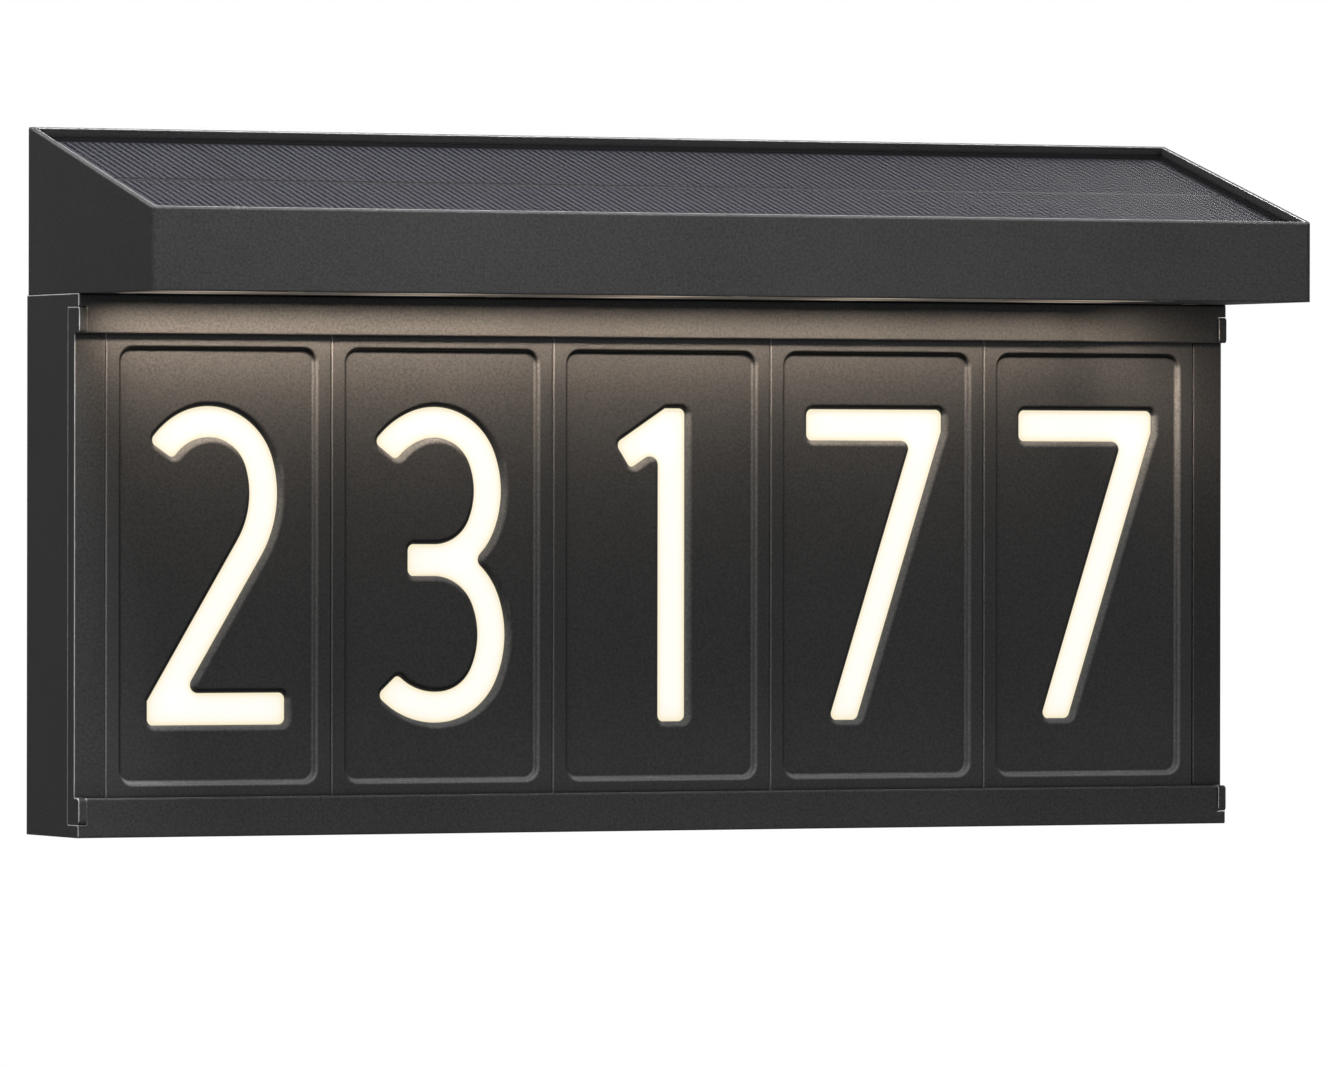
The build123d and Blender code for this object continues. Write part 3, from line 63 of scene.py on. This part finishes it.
GRAIN = 0.8 * MM                          # texture of the moulded plastic
CLOUDS = 14.0                             # slow mottling of the plastic, waves for each metre
GRAIN_ROUGHNESS = 0.06                    # how far the grain changes the roughness
EDGE = 0.65 * MM                          # softened edges of the mouldings
EDGE_SAMPLES = 6
EDGE_HIGHLIGHT = 24.0                             # how much lighter an edge is with its painted highlight
PAINTED_LIGHT_SIDE = (-0.45, -0.20, 0.87)        # painted highlights are strongest on edges that face this way
CREASE = 2.0 * MM                         # reach of the shade in gaps and corners
CREASE_SAMPLES = 6

NOISE_RANGE = (0.3, 0.7)                  # the part of a noise texture that is used
# from this value, to that value, result at the first, result at the second
NOISE_TO_GRAIN = (*NOISE_RANGE, -1.0, 1.0)
NOISE_TO_CLOUDS = (*NOISE_RANGE, -0.3, 0.3)
EDGE_MASK = (0.99, 0.80, 0.0, 1.0)        # 1 where the softened normal leaves the face's own
# painted highlight, growing as an edge turns towards the painted light's side
HIGHLIGHT_FACING = (-0.1, 0.6, 0.0, 1.0)
OPEN_MASK = (0.6, 0.9, 0.0, 1.0)          # 1 on outer edges, 0 on inner ones
CREASE_SHADE = (0.46, 0.74, 0.08, 1.0)     # painted shade, darkest in the narrowest gaps
LIT_ROLL = (0.22, 0.50, 0.0, 2.8)         # light added to rolled steps that face up and left
SHADED_ROLL = (0.12, -0.14, 0.0, 0.97)    # shade on those that face down or right
LENS_SHADE_MASK = (0.78, 1.0, 0.0, 1.0)     # painted shade on the lens, 0 where the lens meets the tile
WINDOW_ALPHA = (0.90, 0.975, 0.3, 1.0)    # clear from straight on, solid at a low angle

LENS_SHADE_REACH = 8.0 * MM                     # how far the painted shade from the tile reaches into the lens
LENS_SAMPLES = 8
BAND_GLOW = 0.12                          # painted glow between the spots on the downlight's window
DRAWN_LINES = 1800.0                      # fine textures, waves for each metre
CELL_CLOUDS = 60.0
COVER_GRAIN = 900.0
BOARD_TRACKS = 260.0
PHOSPHOR_GRAIN = 3000.0
ACRYLIC_GRAIN = 400.0

FLOOR_DROP = 0.32                         # floor below the sign
FLOOR_SIZE = 5.0
FLOOR_TONE = (0.64, 0.64, 0.64, 1.0)
FLOOR_GLOW = (0.55, 0.55, 0.55, 1.0)      # added where the camera sees the floor
BLACK = (0.0, 0.0, 0.0, 1.0)
WHITE = (1.0, 1.0, 1.0, 1.0)
SIDE_TONE = (0.05, 0.05, 0.05, 1.0)       # studio light from the sides, above and below
AHEAD_TONE = (1.35, 1.35, 1.35, 1.0)      # and from straight ahead and behind
AHEAD_POWER = 4.0                         # how fast it falls off between them
LAMP_COLOR = (1.0, 0.80, 0.63)
LAMP_POWERS = (0.102, 0.101, 0.082, 0.073, 0.059)   # watts, from the left of the window to the right
LAMP_DEPTH = 65.0 * MM                    # ahead of the wall
LAMP_HEIGHT = 40.5 * MM                   # just above the window
LAMP_SIZE = 6.5 * MM
LAMP_TILT = 37.0                          # degrees below level, towards the tiles
LAMP_SPREAD = 86.0
END_LAMP_POWER = 0.016                    # at the right end of the window, turned outwards
END_LAMP_LENGTH = 16.0 * MM
END_LAMP_HEIGHT = 34.3 * MM               # just below the window
END_LAMP_TILT = 32.0
END_LAMP_TURN = 58.0
END_LAMP_SPREAD = 72.0

# place, point that it faces, size, watts, spread in degrees
KEY_LIGHT = ((-0.27, -0.42, 1.0), (-0.1, -0.08, 0.05), (0.4, 0.3), 5.4, 70.0)
BACK_LIGHT = ((1.6, 1.5, 1.1), (0.1, -0.05, 0.06), (1.0, 0.8), 9.0, 180.0)


# ---------------------------------------------------------------- node helpers
def shader_group(name, inputs, outputs):
    """Empty shader node group with named sockets; returns the group, its entry and its exit."""
    group = bpy.data.node_groups.new(name, "ShaderNodeTree")
    for socket_name, kind, value in inputs:
        socket = group.interface.new_socket(socket_name, in_out="INPUT", socket_type=kind)
        socket.default_value = value
    for socket_name, kind in outputs:
        group.interface.new_socket(socket_name, in_out="OUTPUT", socket_type=kind)
    entry = group.nodes.new("NodeGroupInput")
    leave = group.nodes.new("NodeGroupOutput")
    return group, entry, leave


def math_node(tree, operation, first, second=None, third=None, clamp=False):
    """Math node fed by sockets or numbers; returns its output socket."""
    node = tree.nodes.new("ShaderNodeMath")
    node.operation = operation
    node.use_clamp = clamp
    for index, value in enumerate((first, second, third)):
        if value is None:
            continue
        if isinstance(value, (int, float)):
            node.inputs[index].default_value = value
        else:
            tree.links.new(value, node.inputs[index])
    return node.outputs[0]


def mix_color(tree, factor, first, second):
    """Mix of two colours; returns its output socket."""
    node = tree.nodes.new("ShaderNodeMix")
    node.data_type = "RGBA"
    for socket, value in ((node.inputs[0], factor), (node.inputs[6], first), (node.inputs[7], second)):
        if isinstance(value, bpy.types.NodeSocket):
            tree.links.new(value, socket)
        else:
            socket.default_value = value
    return node.outputs[2]


def object_position(tree):
    """Separated object coordinates: sockets X, Y, Z, and the vector itself."""
    coordinates = tree.nodes.new("ShaderNodeTexCoord")
    split = tree.nodes.new("ShaderNodeSeparateXYZ")
    tree.links.new(coordinates.outputs["Object"], split.inputs[0])
    return split.outputs[0], split.outputs[1], split.outputs[2], coordinates.outputs["Object"]


def noise(tree, vector, scale, detail=2.0, roughness=0.5):
    """Noise texture; returns its value socket."""
    node = tree.nodes.new("ShaderNodeTexNoise")
    node.inputs["Scale"].default_value = scale
    node.inputs["Detail"].default_value = detail
    node.inputs["Roughness"].default_value = roughness
    tree.links.new(vector, node.inputs["Vector"])
    return node.outputs[0]


def spread(tree, value, low, high, to_low, to_high):
    """Map Range with clamping; returns its output socket."""
    node = tree.nodes.new("ShaderNodeMapRange")
    tree.links.new(value, node.inputs[0])
    for index, number in enumerate((low, high, to_low, to_high), start=1):
        node.inputs[index].default_value = number
    return node.outputs[0]


def dot_product(tree, normal, direction):
    """How far a normal agrees with a direction, given as a socket or as numbers."""
    node = tree.nodes.new("ShaderNodeVectorMath")
    node.operation = "DOT_PRODUCT"
    tree.links.new(normal, node.inputs[0])
    if isinstance(direction, bpy.types.NodeSocket):
        tree.links.new(direction, node.inputs[1])
    else:
        node.inputs[1].default_value = direction
    return node.outputs["Value"]


def scaled_color(tree, color, factor):
    """Colour times a factor; the colour is a socket or numbers."""
    node = tree.nodes.new("ShaderNodeVectorMath")
    node.operation = "SCALE"
    if isinstance(color, bpy.types.NodeSocket):
        tree.links.new(color, node.inputs[0])
    else:
        node.inputs[0].default_value = color
    tree.links.new(factor, node.inputs["Scale"])
    return node.outputs[0]


def openness(tree, reach, samples):
    """How open a place is within reach: 1 on a plain face, less in gaps and corners."""
    node = tree.nodes.new("ShaderNodeAmbientOcclusion")
    node.samples = samples
    node.inputs["Distance"].default_value = reach
    return node.outputs["AO"]


def bell(tree, distance, width):
    """Smooth bump of 1 at distance 0, which falls off over the width."""
    ratio = math_node(tree, "POWER", math_node(tree, "DIVIDE", distance, width), 2.0)
    return math_node(tree, "EXPONENT", math_node(tree, "MULTIPLY", ratio, -1.0))


def principled(name):
    """New material with its tree and Principled shader."""
    material = bpy.data.materials.new(name)
    material.use_nodes = True
    tree = material.node_tree
    return material, tree, tree.nodes["Principled BSDF"]


# ---------------------------------------------------------------- effects that materials share
def soft_edge_normal(tree):
    """Normal that rounds every sharp edge a little."""
    node = tree.nodes.new("ShaderNodeBevel")
    node.samples = EDGE_SAMPLES
    node.inputs["Radius"].default_value = EDGE
    return node.outputs["Normal"]


def painted_edge_light(tree, normal, highlight_amount, shade):
    """Painted light and shade: painted highlights on outer edges and on rolled steps that face up and left,
    painted shade in creases and on rolled steps that face down or right.
    """
    surface = tree.nodes.new("ShaderNodeNewGeometry")
    # painted highlight on outer edges that face the painted light's side
    corner = spread(tree, dot_product(tree, normal, surface.outputs["True Normal"]), *EDGE_MASK)
    faced = dot_product(tree, normal, PAINTED_LIGHT_SIDE)
    corner = math_node(tree, "MULTIPLY", corner, spread(tree, faced, *HIGHLIGHT_FACING))
    shelter = openness(tree, CREASE, CREASE_SAMPLES)
    outside = math_node(tree, "MULTIPLY", corner, spread(tree, shelter, *OPEN_MASK))
    # painted shade in gaps and corners
    crease_shade = spread(tree, shelter, *CREASE_SHADE)
    tone = math_node(tree, "MULTIPLY_ADD", outside, highlight_amount, crease_shade)
    # painted highlight on rolled steps that face up and left, painted shade on those that face down or right
    lit = math_node(tree, "MULTIPLY", spread(tree, faced, *LIT_ROLL), shade)
    away = math_node(tree, "MULTIPLY", spread(tree, faced, *SHADED_ROLL), shade)
    tone = math_node(tree, "ADD", tone, lit)
    return math_node(tree, "MULTIPLY", tone, math_node(tree, "SUBTRACT", 1.0, away))


def build_moulded_grain_and_light():
    """Fine texture, slight mottling and soft edges, as a moulded surface has, with painted highlights and
    painted shade on edges, rolled steps and creases.
    """
    group, entry, leave = shader_group(
        "Moulded grain and painted light",
        [("Color", "NodeSocketColor", (0.05, 0.05, 0.05, 1.0)), ("Contrast", "NodeSocketFloat", 0.12),
         ("Roughness", "NodeSocketFloat", 0.55), ("Relief", "NodeSocketFloat", 0.05 * MM),
         ("Edge highlight", "NodeSocketFloat", EDGE_HIGHLIGHT), ("Shade", "NodeSocketFloat", 0.0)],
        [("Color", "NodeSocketColor"), ("Roughness", "NodeSocketFloat"), ("Normal", "NodeSocketVector")],
    )
    _, _, _, vector = object_position(group)
    fine = noise(group, vector, 1.0 / GRAIN, detail=2.0, roughness=0.6)
    slow = noise(group, vector, CLOUDS, detail=4.0, roughness=0.6)
    grain = spread(group, fine, *NOISE_TO_GRAIN)
    sway = math_node(group, "ADD", grain, spread(group, slow, *NOISE_TO_CLOUDS))
    mottling = math_node(group, "MULTIPLY_ADD", sway, entry.outputs["Contrast"], 1.0)
    normal = soft_edge_normal(group)
    tone = painted_edge_light(group, normal, entry.outputs["Edge highlight"], entry.outputs["Shade"])
    tinted = scaled_color(group, entry.outputs["Color"], math_node(group, "MULTIPLY", mottling, tone))
    group.links.new(tinted, leave.inputs["Color"])
    rough = math_node(group, "MULTIPLY_ADD", grain, GRAIN_ROUGHNESS, entry.outputs["Roughness"], clamp=True)
    group.links.new(rough, leave.inputs["Roughness"])
    bump = group.nodes.new("ShaderNodeBump")
    group.links.new(entry.outputs["Relief"], bump.inputs["Distance"])
    group.links.new(fine, bump.inputs["Height"])
    group.links.new(normal, bump.inputs["Normal"])
    group.links.new(bump.outputs["Normal"], leave.inputs["Normal"])
    return group


def build_lamp_spots():
    """Painted light spots and bands on the downlight's window, one spot under each lamp."""
    group, entry, leave = shader_group(
        "Lamp spots",
        [("Middle X", "NodeSocketFloat", 0.0), ("Middle Y", "NodeSocketFloat", 0.0),
         ("Spot", "NodeSocketFloat", 15.0 * MM), ("Band", "NodeSocketFloat", 6.0 * MM)],
        [("Spots", "NodeSocketFloat"), ("Bands", "NodeSocketFloat")],
    )
    x, y, _, _ = object_position(group)
    along = math_node(group, "SUBTRACT", x, entry.outputs["Middle X"])
    beside = math_node(group, "WRAP", along, TILE_PITCH / 2, -TILE_PITCH / 2)
    across = math_node(group, "SUBTRACT", y, entry.outputs["Middle Y"])
    from_row = math_node(group, "SUBTRACT", math_node(group, "ABSOLUTE", across), LED_ROW_SPACING / 2)
    band = bell(group, from_row, entry.outputs["Band"])
    spot = bell(group, beside, entry.outputs["Spot"])
    group.links.new(math_node(group, "MULTIPLY", band, spot), leave.inputs["Spots"])
    group.links.new(band, leave.inputs["Bands"])
    return group


MOULDED_GRAIN_AND_LIGHT = build_moulded_grain_and_light()
LAMP_SPOTS = build_lamp_spots()


# ---------------------------------------------------------------- materials
def moulded(name, color, roughness=0.6, contrast=0.25, bump=0.05 * MM, specular=0.03, shade=0.0):
    """Moulded plastic or rubber with the group of grain, painted edge highlights and painted shade."""
    material, tree, shader = principled(name)
    grain = tree.nodes.new("ShaderNodeGroup")
    grain.node_tree = MOULDED_GRAIN_AND_LIGHT
    grain.inputs["Color"].default_value = (*color, 1.0)
    grain.inputs["Contrast"].default_value = contrast
    grain.inputs["Roughness"].default_value = roughness
    grain.inputs["Relief"].default_value = bump
    grain.inputs["Shade"].default_value = shade
    tree.links.new(grain.outputs["Color"], shader.inputs["Base Color"])
    tree.links.new(grain.outputs["Roughness"], shader.inputs["Roughness"])
    tree.links.new(grain.outputs["Normal"], shader.inputs["Normal"])
    shader.inputs["Specular IOR Level"].default_value = specular
    return material


def metal(name, color, roughness=0.32):
    """Plated steel with fine drawn lines."""
    material, tree, shader = principled(name)
    _, _, _, vector = object_position(tree)
    lines = noise(tree, vector, DRAWN_LINES, detail=2.0)
    tinted = scaled_color(tree, color, spread(tree, lines, *NOISE_RANGE, 0.8, 1.1))
    tree.links.new(tinted, shader.inputs["Base Color"])
    rough = spread(tree, lines, *NOISE_RANGE, roughness - 0.06, roughness + 0.08)
    tree.links.new(rough, shader.inputs["Roughness"])
    shader.inputs["Metallic"].default_value = 1.0
    return material


def opal_lens(name):
    """Opal digit lens lit from behind, with painted shade, dimmer and warmer, where it meets the tile."""
    material, tree, shader = principled(name)
    shader.inputs["Base Color"].default_value = (0.06, 0.055, 0.05, 1.0)
    shader.inputs["Roughness"].default_value = 0.45
    middle = spread(tree, openness(tree, LENS_SHADE_REACH, LENS_SAMPLES), *LENS_SHADE_MASK)
    tint = mix_color(tree, middle, (0.88, 0.79, 0.56, 1.0), (1.0, 0.99, 0.96, 1.0))
    tree.links.new(tint, shader.inputs["Emission Color"])
    shader.inputs["Emission Strength"].default_value = 1.0
    return material


def downlight_window(name):
    """Clear window under the hood with a painted glow below each lamp, solid at a low angle."""
    material, tree, shader = principled(name)
    low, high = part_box("downlight_leds")
    spots = tree.nodes.new("ShaderNodeGroup")
    spots.node_tree = LAMP_SPOTS
    spots.inputs["Middle X"].default_value = (low[0] + high[0]) / 2
    spots.inputs["Middle Y"].default_value = (low[1] + high[1]) / 2
    glow = math_node(tree, "MULTIPLY_ADD", spots.outputs["Bands"], BAND_GLOW, spots.outputs["Spots"])
    tint = mix_color(tree, glow, BLACK, (0.46, 0.37, 0.29, 1.0))
    tree.links.new(tint, shader.inputs["Emission Color"])
    shader.inputs["Emission Strength"].default_value = 1.0
    shader.inputs["Base Color"].default_value = (0.12, 0.11, 0.10, 1.0)
    shader.inputs["Roughness"].default_value = 0.4
    shader.inputs["Specular IOR Level"].default_value = 0.2
    weight = tree.nodes.new("ShaderNodeLayerWeight")
    tree.links.new(spread(tree, weight.outputs["Facing"], *WINDOW_ALPHA), shader.inputs["Alpha"])
    return material


def solar_cell(name):
    """Dark cell with fine printed fingers from front to back."""
    material, tree, shader = principled(name)
    x, _, _, vector = object_position(tree)
    wave = math_node(tree, "PINGPONG", x, FINGER_PITCH / 2)
    finger = spread(tree, wave, *FINGER_EDGES, 0.0, 1.0)
    cloud = noise(tree, vector, CELL_CLOUDS, detail=3.0)
    silicon = mix_color(tree, spread(tree, cloud, *NOISE_RANGE, 0.0, 1.0),
                        (0.006, 0.0055, 0.010, 1.0), (0.010, 0.0095, 0.015, 1.0))
    tint = mix_color(tree, finger, silicon, (0.066, 0.066, 0.073, 1.0))
    tree.links.new(tint, shader.inputs["Base Color"])
    shader.inputs["Roughness"].default_value = 0.6
    shader.inputs["Specular IOR Level"].default_value = 0.0
    return material


def panel_cover(name):
    """Clear cover of the solar panel, finely matt."""
    material, tree, shader = principled(name)
    _, _, _, vector = object_position(tree)
    fine = noise(tree, vector, COVER_GRAIN, detail=2.0)
    shader.inputs["Base Color"].default_value = (0.03, 0.03, 0.034, 1.0)
    shader.inputs["Alpha"].default_value = 0.14
    shader.inputs["Specular IOR Level"].default_value = 0.2
    tree.links.new(spread(tree, fine, *NOISE_RANGE, 0.32, 0.38), shader.inputs["Roughness"])
    return material


def circuit_board(name, color):
    """Lacquered board with a faint pattern of tracks."""
    material, tree, shader = principled(name)
    _, _, _, vector = object_position(tree)
    tracks = tree.nodes.new("ShaderNodeTexBrick")
    tracks.inputs["Scale"].default_value = BOARD_TRACKS
    tracks.inputs["Mortar Size"].default_value = 0.03
    tracks.inputs["Color1"].default_value = (*color, 1.0)
    tracks.inputs["Color2"].default_value = (*[0.85 * part for part in color], 1.0)
    tracks.inputs["Mortar"].default_value = (*[min(1.0, 1.5 * part) for part in color], 1.0)
    tree.links.new(vector, tracks.inputs["Vector"])
    tree.links.new(tracks.outputs["Color"], shader.inputs["Base Color"])
    shader.inputs["Roughness"].default_value = 0.35
    return material


def lamp(name, strength):
    """Small lamp with its phosphor lit."""
    material, tree, shader = principled(name)
    _, _, _, vector = object_position(tree)
    fine = noise(tree, vector, PHOSPHOR_GRAIN)
    tint = mix_color(tree, fine, (1.0, 0.72, 0.42, 1.0), (1.0, 0.86, 0.62, 1.0))
    tree.links.new(tint, shader.inputs["Base Color"])
    tree.links.new(tint, shader.inputs["Emission Color"])
    shader.inputs["Emission Strength"].default_value = strength
    return material


def clear_plate(name):
    """Polished clear acrylic."""
    material, tree, shader = principled(name)
    _, _, _, vector = object_position(tree)
    fine = noise(tree, vector, ACRYLIC_GRAIN)
    shader.inputs["Base Color"].default_value = (0.9, 0.95, 0.95, 1.0)
    tree.links.new(spread(tree, fine, *NOISE_RANGE, 0.05, 0.12), shader.inputs["Roughness"])
    shader.inputs["Alpha"].default_value = 0.5
    return material


BODY_TONE = (0.036, 0.036, 0.036)         # black plastic of the body and the tiles
FINISHES = {
    "housing_plastic": moulded("Housing plastic", BODY_TONE),
    # the tile finish adds painted highlights on rolled steps that face up and left and painted shade on
    # those that face down or right
    "tile_plastic": moulded("Tile plastic", BODY_TONE, roughness=0.42, specular=0.12, shade=1.0),
    "cover_plastic": moulded("Rear cover plastic", (0.030, 0.030, 0.030), roughness=0.5),
    "button_plastic": moulded("Button plastic", (0.022, 0.022, 0.022), roughness=0.6),
    "opal_lens": opal_lens("Opal lens"),
    "clear_lens": downlight_window("Downlight window"),
    "panel_clear": panel_cover("Panel cover"),
    "solar_cell": solar_cell("Solar cell"),
    "panel_backing": moulded("Panel backing", (0.012, 0.012, 0.014), roughness=0.4),
    "light_guide": clear_plate("Light guide"),
    "white_sheet": moulded("White sheet", (0.80, 0.80, 0.80), contrast=0.03),
    "circuit_board": circuit_board("Circuit board", (0.02, 0.11, 0.04)),
    "white_board": circuit_board("Lamp board", (0.70, 0.70, 0.68)),
    "led": lamp("Lamp", 2.0),
    "electronics": moulded("Component black", (0.015, 0.015, 0.015), roughness=0.4),
    "screw_steel": metal("Zinc plated steel", (0.55, 0.55, 0.55)),
    "contact_steel": metal("Nickel plated steel", (0.62, 0.60, 0.56), roughness=0.2),
    "cell_wrap": moulded("Cell wrap", (0.02, 0.09, 0.28), roughness=0.25, contrast=0.04),
    "seal_rubber": moulded("Seal rubber", (0.014, 0.014, 0.014), roughness=0.7),
    "foam_tape": moulded("Foam tape", (0.02, 0.02, 0.02), roughness=0.85, contrast=0.3),
    "lead_jacket": moulded("Lead jacket", (0.016, 0.016, 0.016), roughness=0.5),
}
for node_name, piece in nodes.items():
    finish = FINISHES[slot_of[node_name]]
    if not piece.material_slots:
        piece.data.materials.append(finish)
    for material_slot in piece.material_slots:
        material_slot.material = finish


# ---------------------------------------------------------------- lamps of the downlight
def downlight_lamp(middle_x, length, power, height=LAMP_HEIGHT, tilt=LAMP_TILT, turn=0.0, angle=LAMP_SPREAD):
    """One warm strip of light at the window, tilted towards the tiles."""
    light = bpy.data.lights.new("Downlight lamp", "AREA")
    light.shape = "RECTANGLE"
    light.size = length
    light.size_y = LAMP_SIZE
    light.spread = math.radians(angle)
    light.energy = power
    light.color = LAMP_COLOR
    holder = bpy.data.objects.new("Downlight lamp", light)
    holder.location = (middle_x, -LAMP_DEPTH, height)
    holder.rotation_euler = (math.radians(90.0 - tilt), 0.0, math.radians(-turn))
    holder.visible_camera = False
    bpy.context.scene.collection.objects.link(holder)


def downlight_lamps():
    """Strips of light along the window, dimmer towards the right, and a short one at its right end."""
    low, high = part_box("downlight_lens")
    length = (high[0] - low[0]) / len(LAMP_POWERS)
    for column, power in enumerate(LAMP_POWERS):
        downlight_lamp(low[0] + (column + 0.5) * length, length, power)
    middle_x = high[0] - END_LAMP_LENGTH / 2
    downlight_lamp(middle_x, END_LAMP_LENGTH, END_LAMP_POWER,
                   END_LAMP_HEIGHT, END_LAMP_TILT, END_LAMP_TURN, END_LAMP_SPREAD)


# ---------------------------------------------------------------- studio
def softbox(name, place, target, size, power, spread_angle):
    """Large soft lamp that faces a target."""
    light = bpy.data.lights.new(name, "AREA")
    light.shape = "RECTANGLE"
    light.size, light.size_y = size
    light.energy = power
    light.spread = math.radians(spread_angle)
    holder = bpy.data.objects.new(name, light)
    holder.location = place
    direction = Vector(target) - Vector(place)
    holder.rotation_euler = direction.to_track_quat("-Z", "Y").to_euler()
    holder.visible_camera = False
    bpy.context.scene.collection.objects.link(holder)


def world_light():
    """Soft studio light from the front and from behind; white where the camera or a reflection sees it."""
    world = bpy.data.worlds.new("Studio")
    bpy.context.scene.world = world
    world.use_nodes = True
    tree = world.node_tree
    background = tree.nodes["Background"]
    coordinates = tree.nodes.new("ShaderNodeTexCoord")
    split = tree.nodes.new("ShaderNodeSeparateXYZ")
    tree.links.new(coordinates.outputs["Generated"], split.inputs[0])
    ahead = math_node(tree, "POWER", math_node(tree, "ABSOLUTE", split.outputs[1]), AHEAD_POWER)
    tone = mix_color(tree, ahead, SIDE_TONE, AHEAD_TONE)
    path = tree.nodes.new("ShaderNodeLightPath")
    seen = math_node(tree, "MAXIMUM", path.outputs["Is Camera Ray"], path.outputs["Is Glossy Ray"])
    seen = math_node(tree, "MAXIMUM", seen, path.outputs["Is Transmission Ray"])
    tree.links.new(mix_color(tree, seen, tone, WHITE), background.inputs["Color"])


def floor():
    """Pale floor below the sign, which keeps its shadow and is clear from underneath."""
    low, _ = cad_box
    bpy.ops.object.select_all(action="DESELECT")
    bpy.ops.mesh.primitive_plane_add(size=FLOOR_SIZE, location=(0.0, 0.0, low[2] - FLOOR_DROP))
    plane = bpy.context.object
    plane.name = "floor"
    material, tree, shader = principled("Floor")
    shader.inputs["Base Color"].default_value = FLOOR_TONE
    shader.inputs["Roughness"].default_value = 0.9
    shader.inputs["Specular IOR Level"].default_value = 0.1
    path = tree.nodes.new("ShaderNodeLightPath")
    pale = mix_color(tree, path.outputs["Is Camera Ray"], BLACK, FLOOR_GLOW)
    tree.links.new(pale, shader.inputs["Emission Color"])
    shader.inputs["Emission Strength"].default_value = 1.0
    side = tree.nodes.new("ShaderNodeNewGeometry")
    tree.links.new(math_node(tree, "SUBTRACT", 1.0, side.outputs["Backfacing"]), shader.inputs["Alpha"])
    plane.data.materials.append(material)


def camera():
    """Camera where the photograph was taken from."""
    yaw, pitch, roll = (math.radians(angle) for angle in (CAMERA_YAW, CAMERA_PITCH, CAMERA_ROLL))
    forward = Vector((math.sin(yaw) * math.cos(pitch), math.cos(yaw) * math.cos(pitch), math.sin(pitch)))
    level = Vector((math.cos(yaw), -math.sin(yaw), 0.0))
    upright = level.cross(forward)
    right = level * math.cos(roll) + upright * math.sin(roll)
    up = upright * math.cos(roll) - level * math.sin(roll)
    data = bpy.data.cameras.new("Camera")
    data.sensor_width = SENSOR_WIDTH
    data.lens = SENSOR_WIDTH * FOCAL_PIXELS / PHOTO_WIDTH
    data.clip_end = 100.0
    holder = bpy.data.objects.new("Camera", data)
    turn = Matrix((right, up, -forward)).transposed().to_4x4()
    holder.matrix_world = Matrix.Translation(CAMERA_PLACE) @ turn
    bpy.context.scene.collection.objects.link(holder)
    bpy.context.scene.camera = holder


downlight_lamps()
world_light()
floor()
camera()
softbox("Key", *KEY_LIGHT)
softbox("Back", *BACK_LIGHT)
bpy.context.scene.view_settings.view_transform = "Standard"
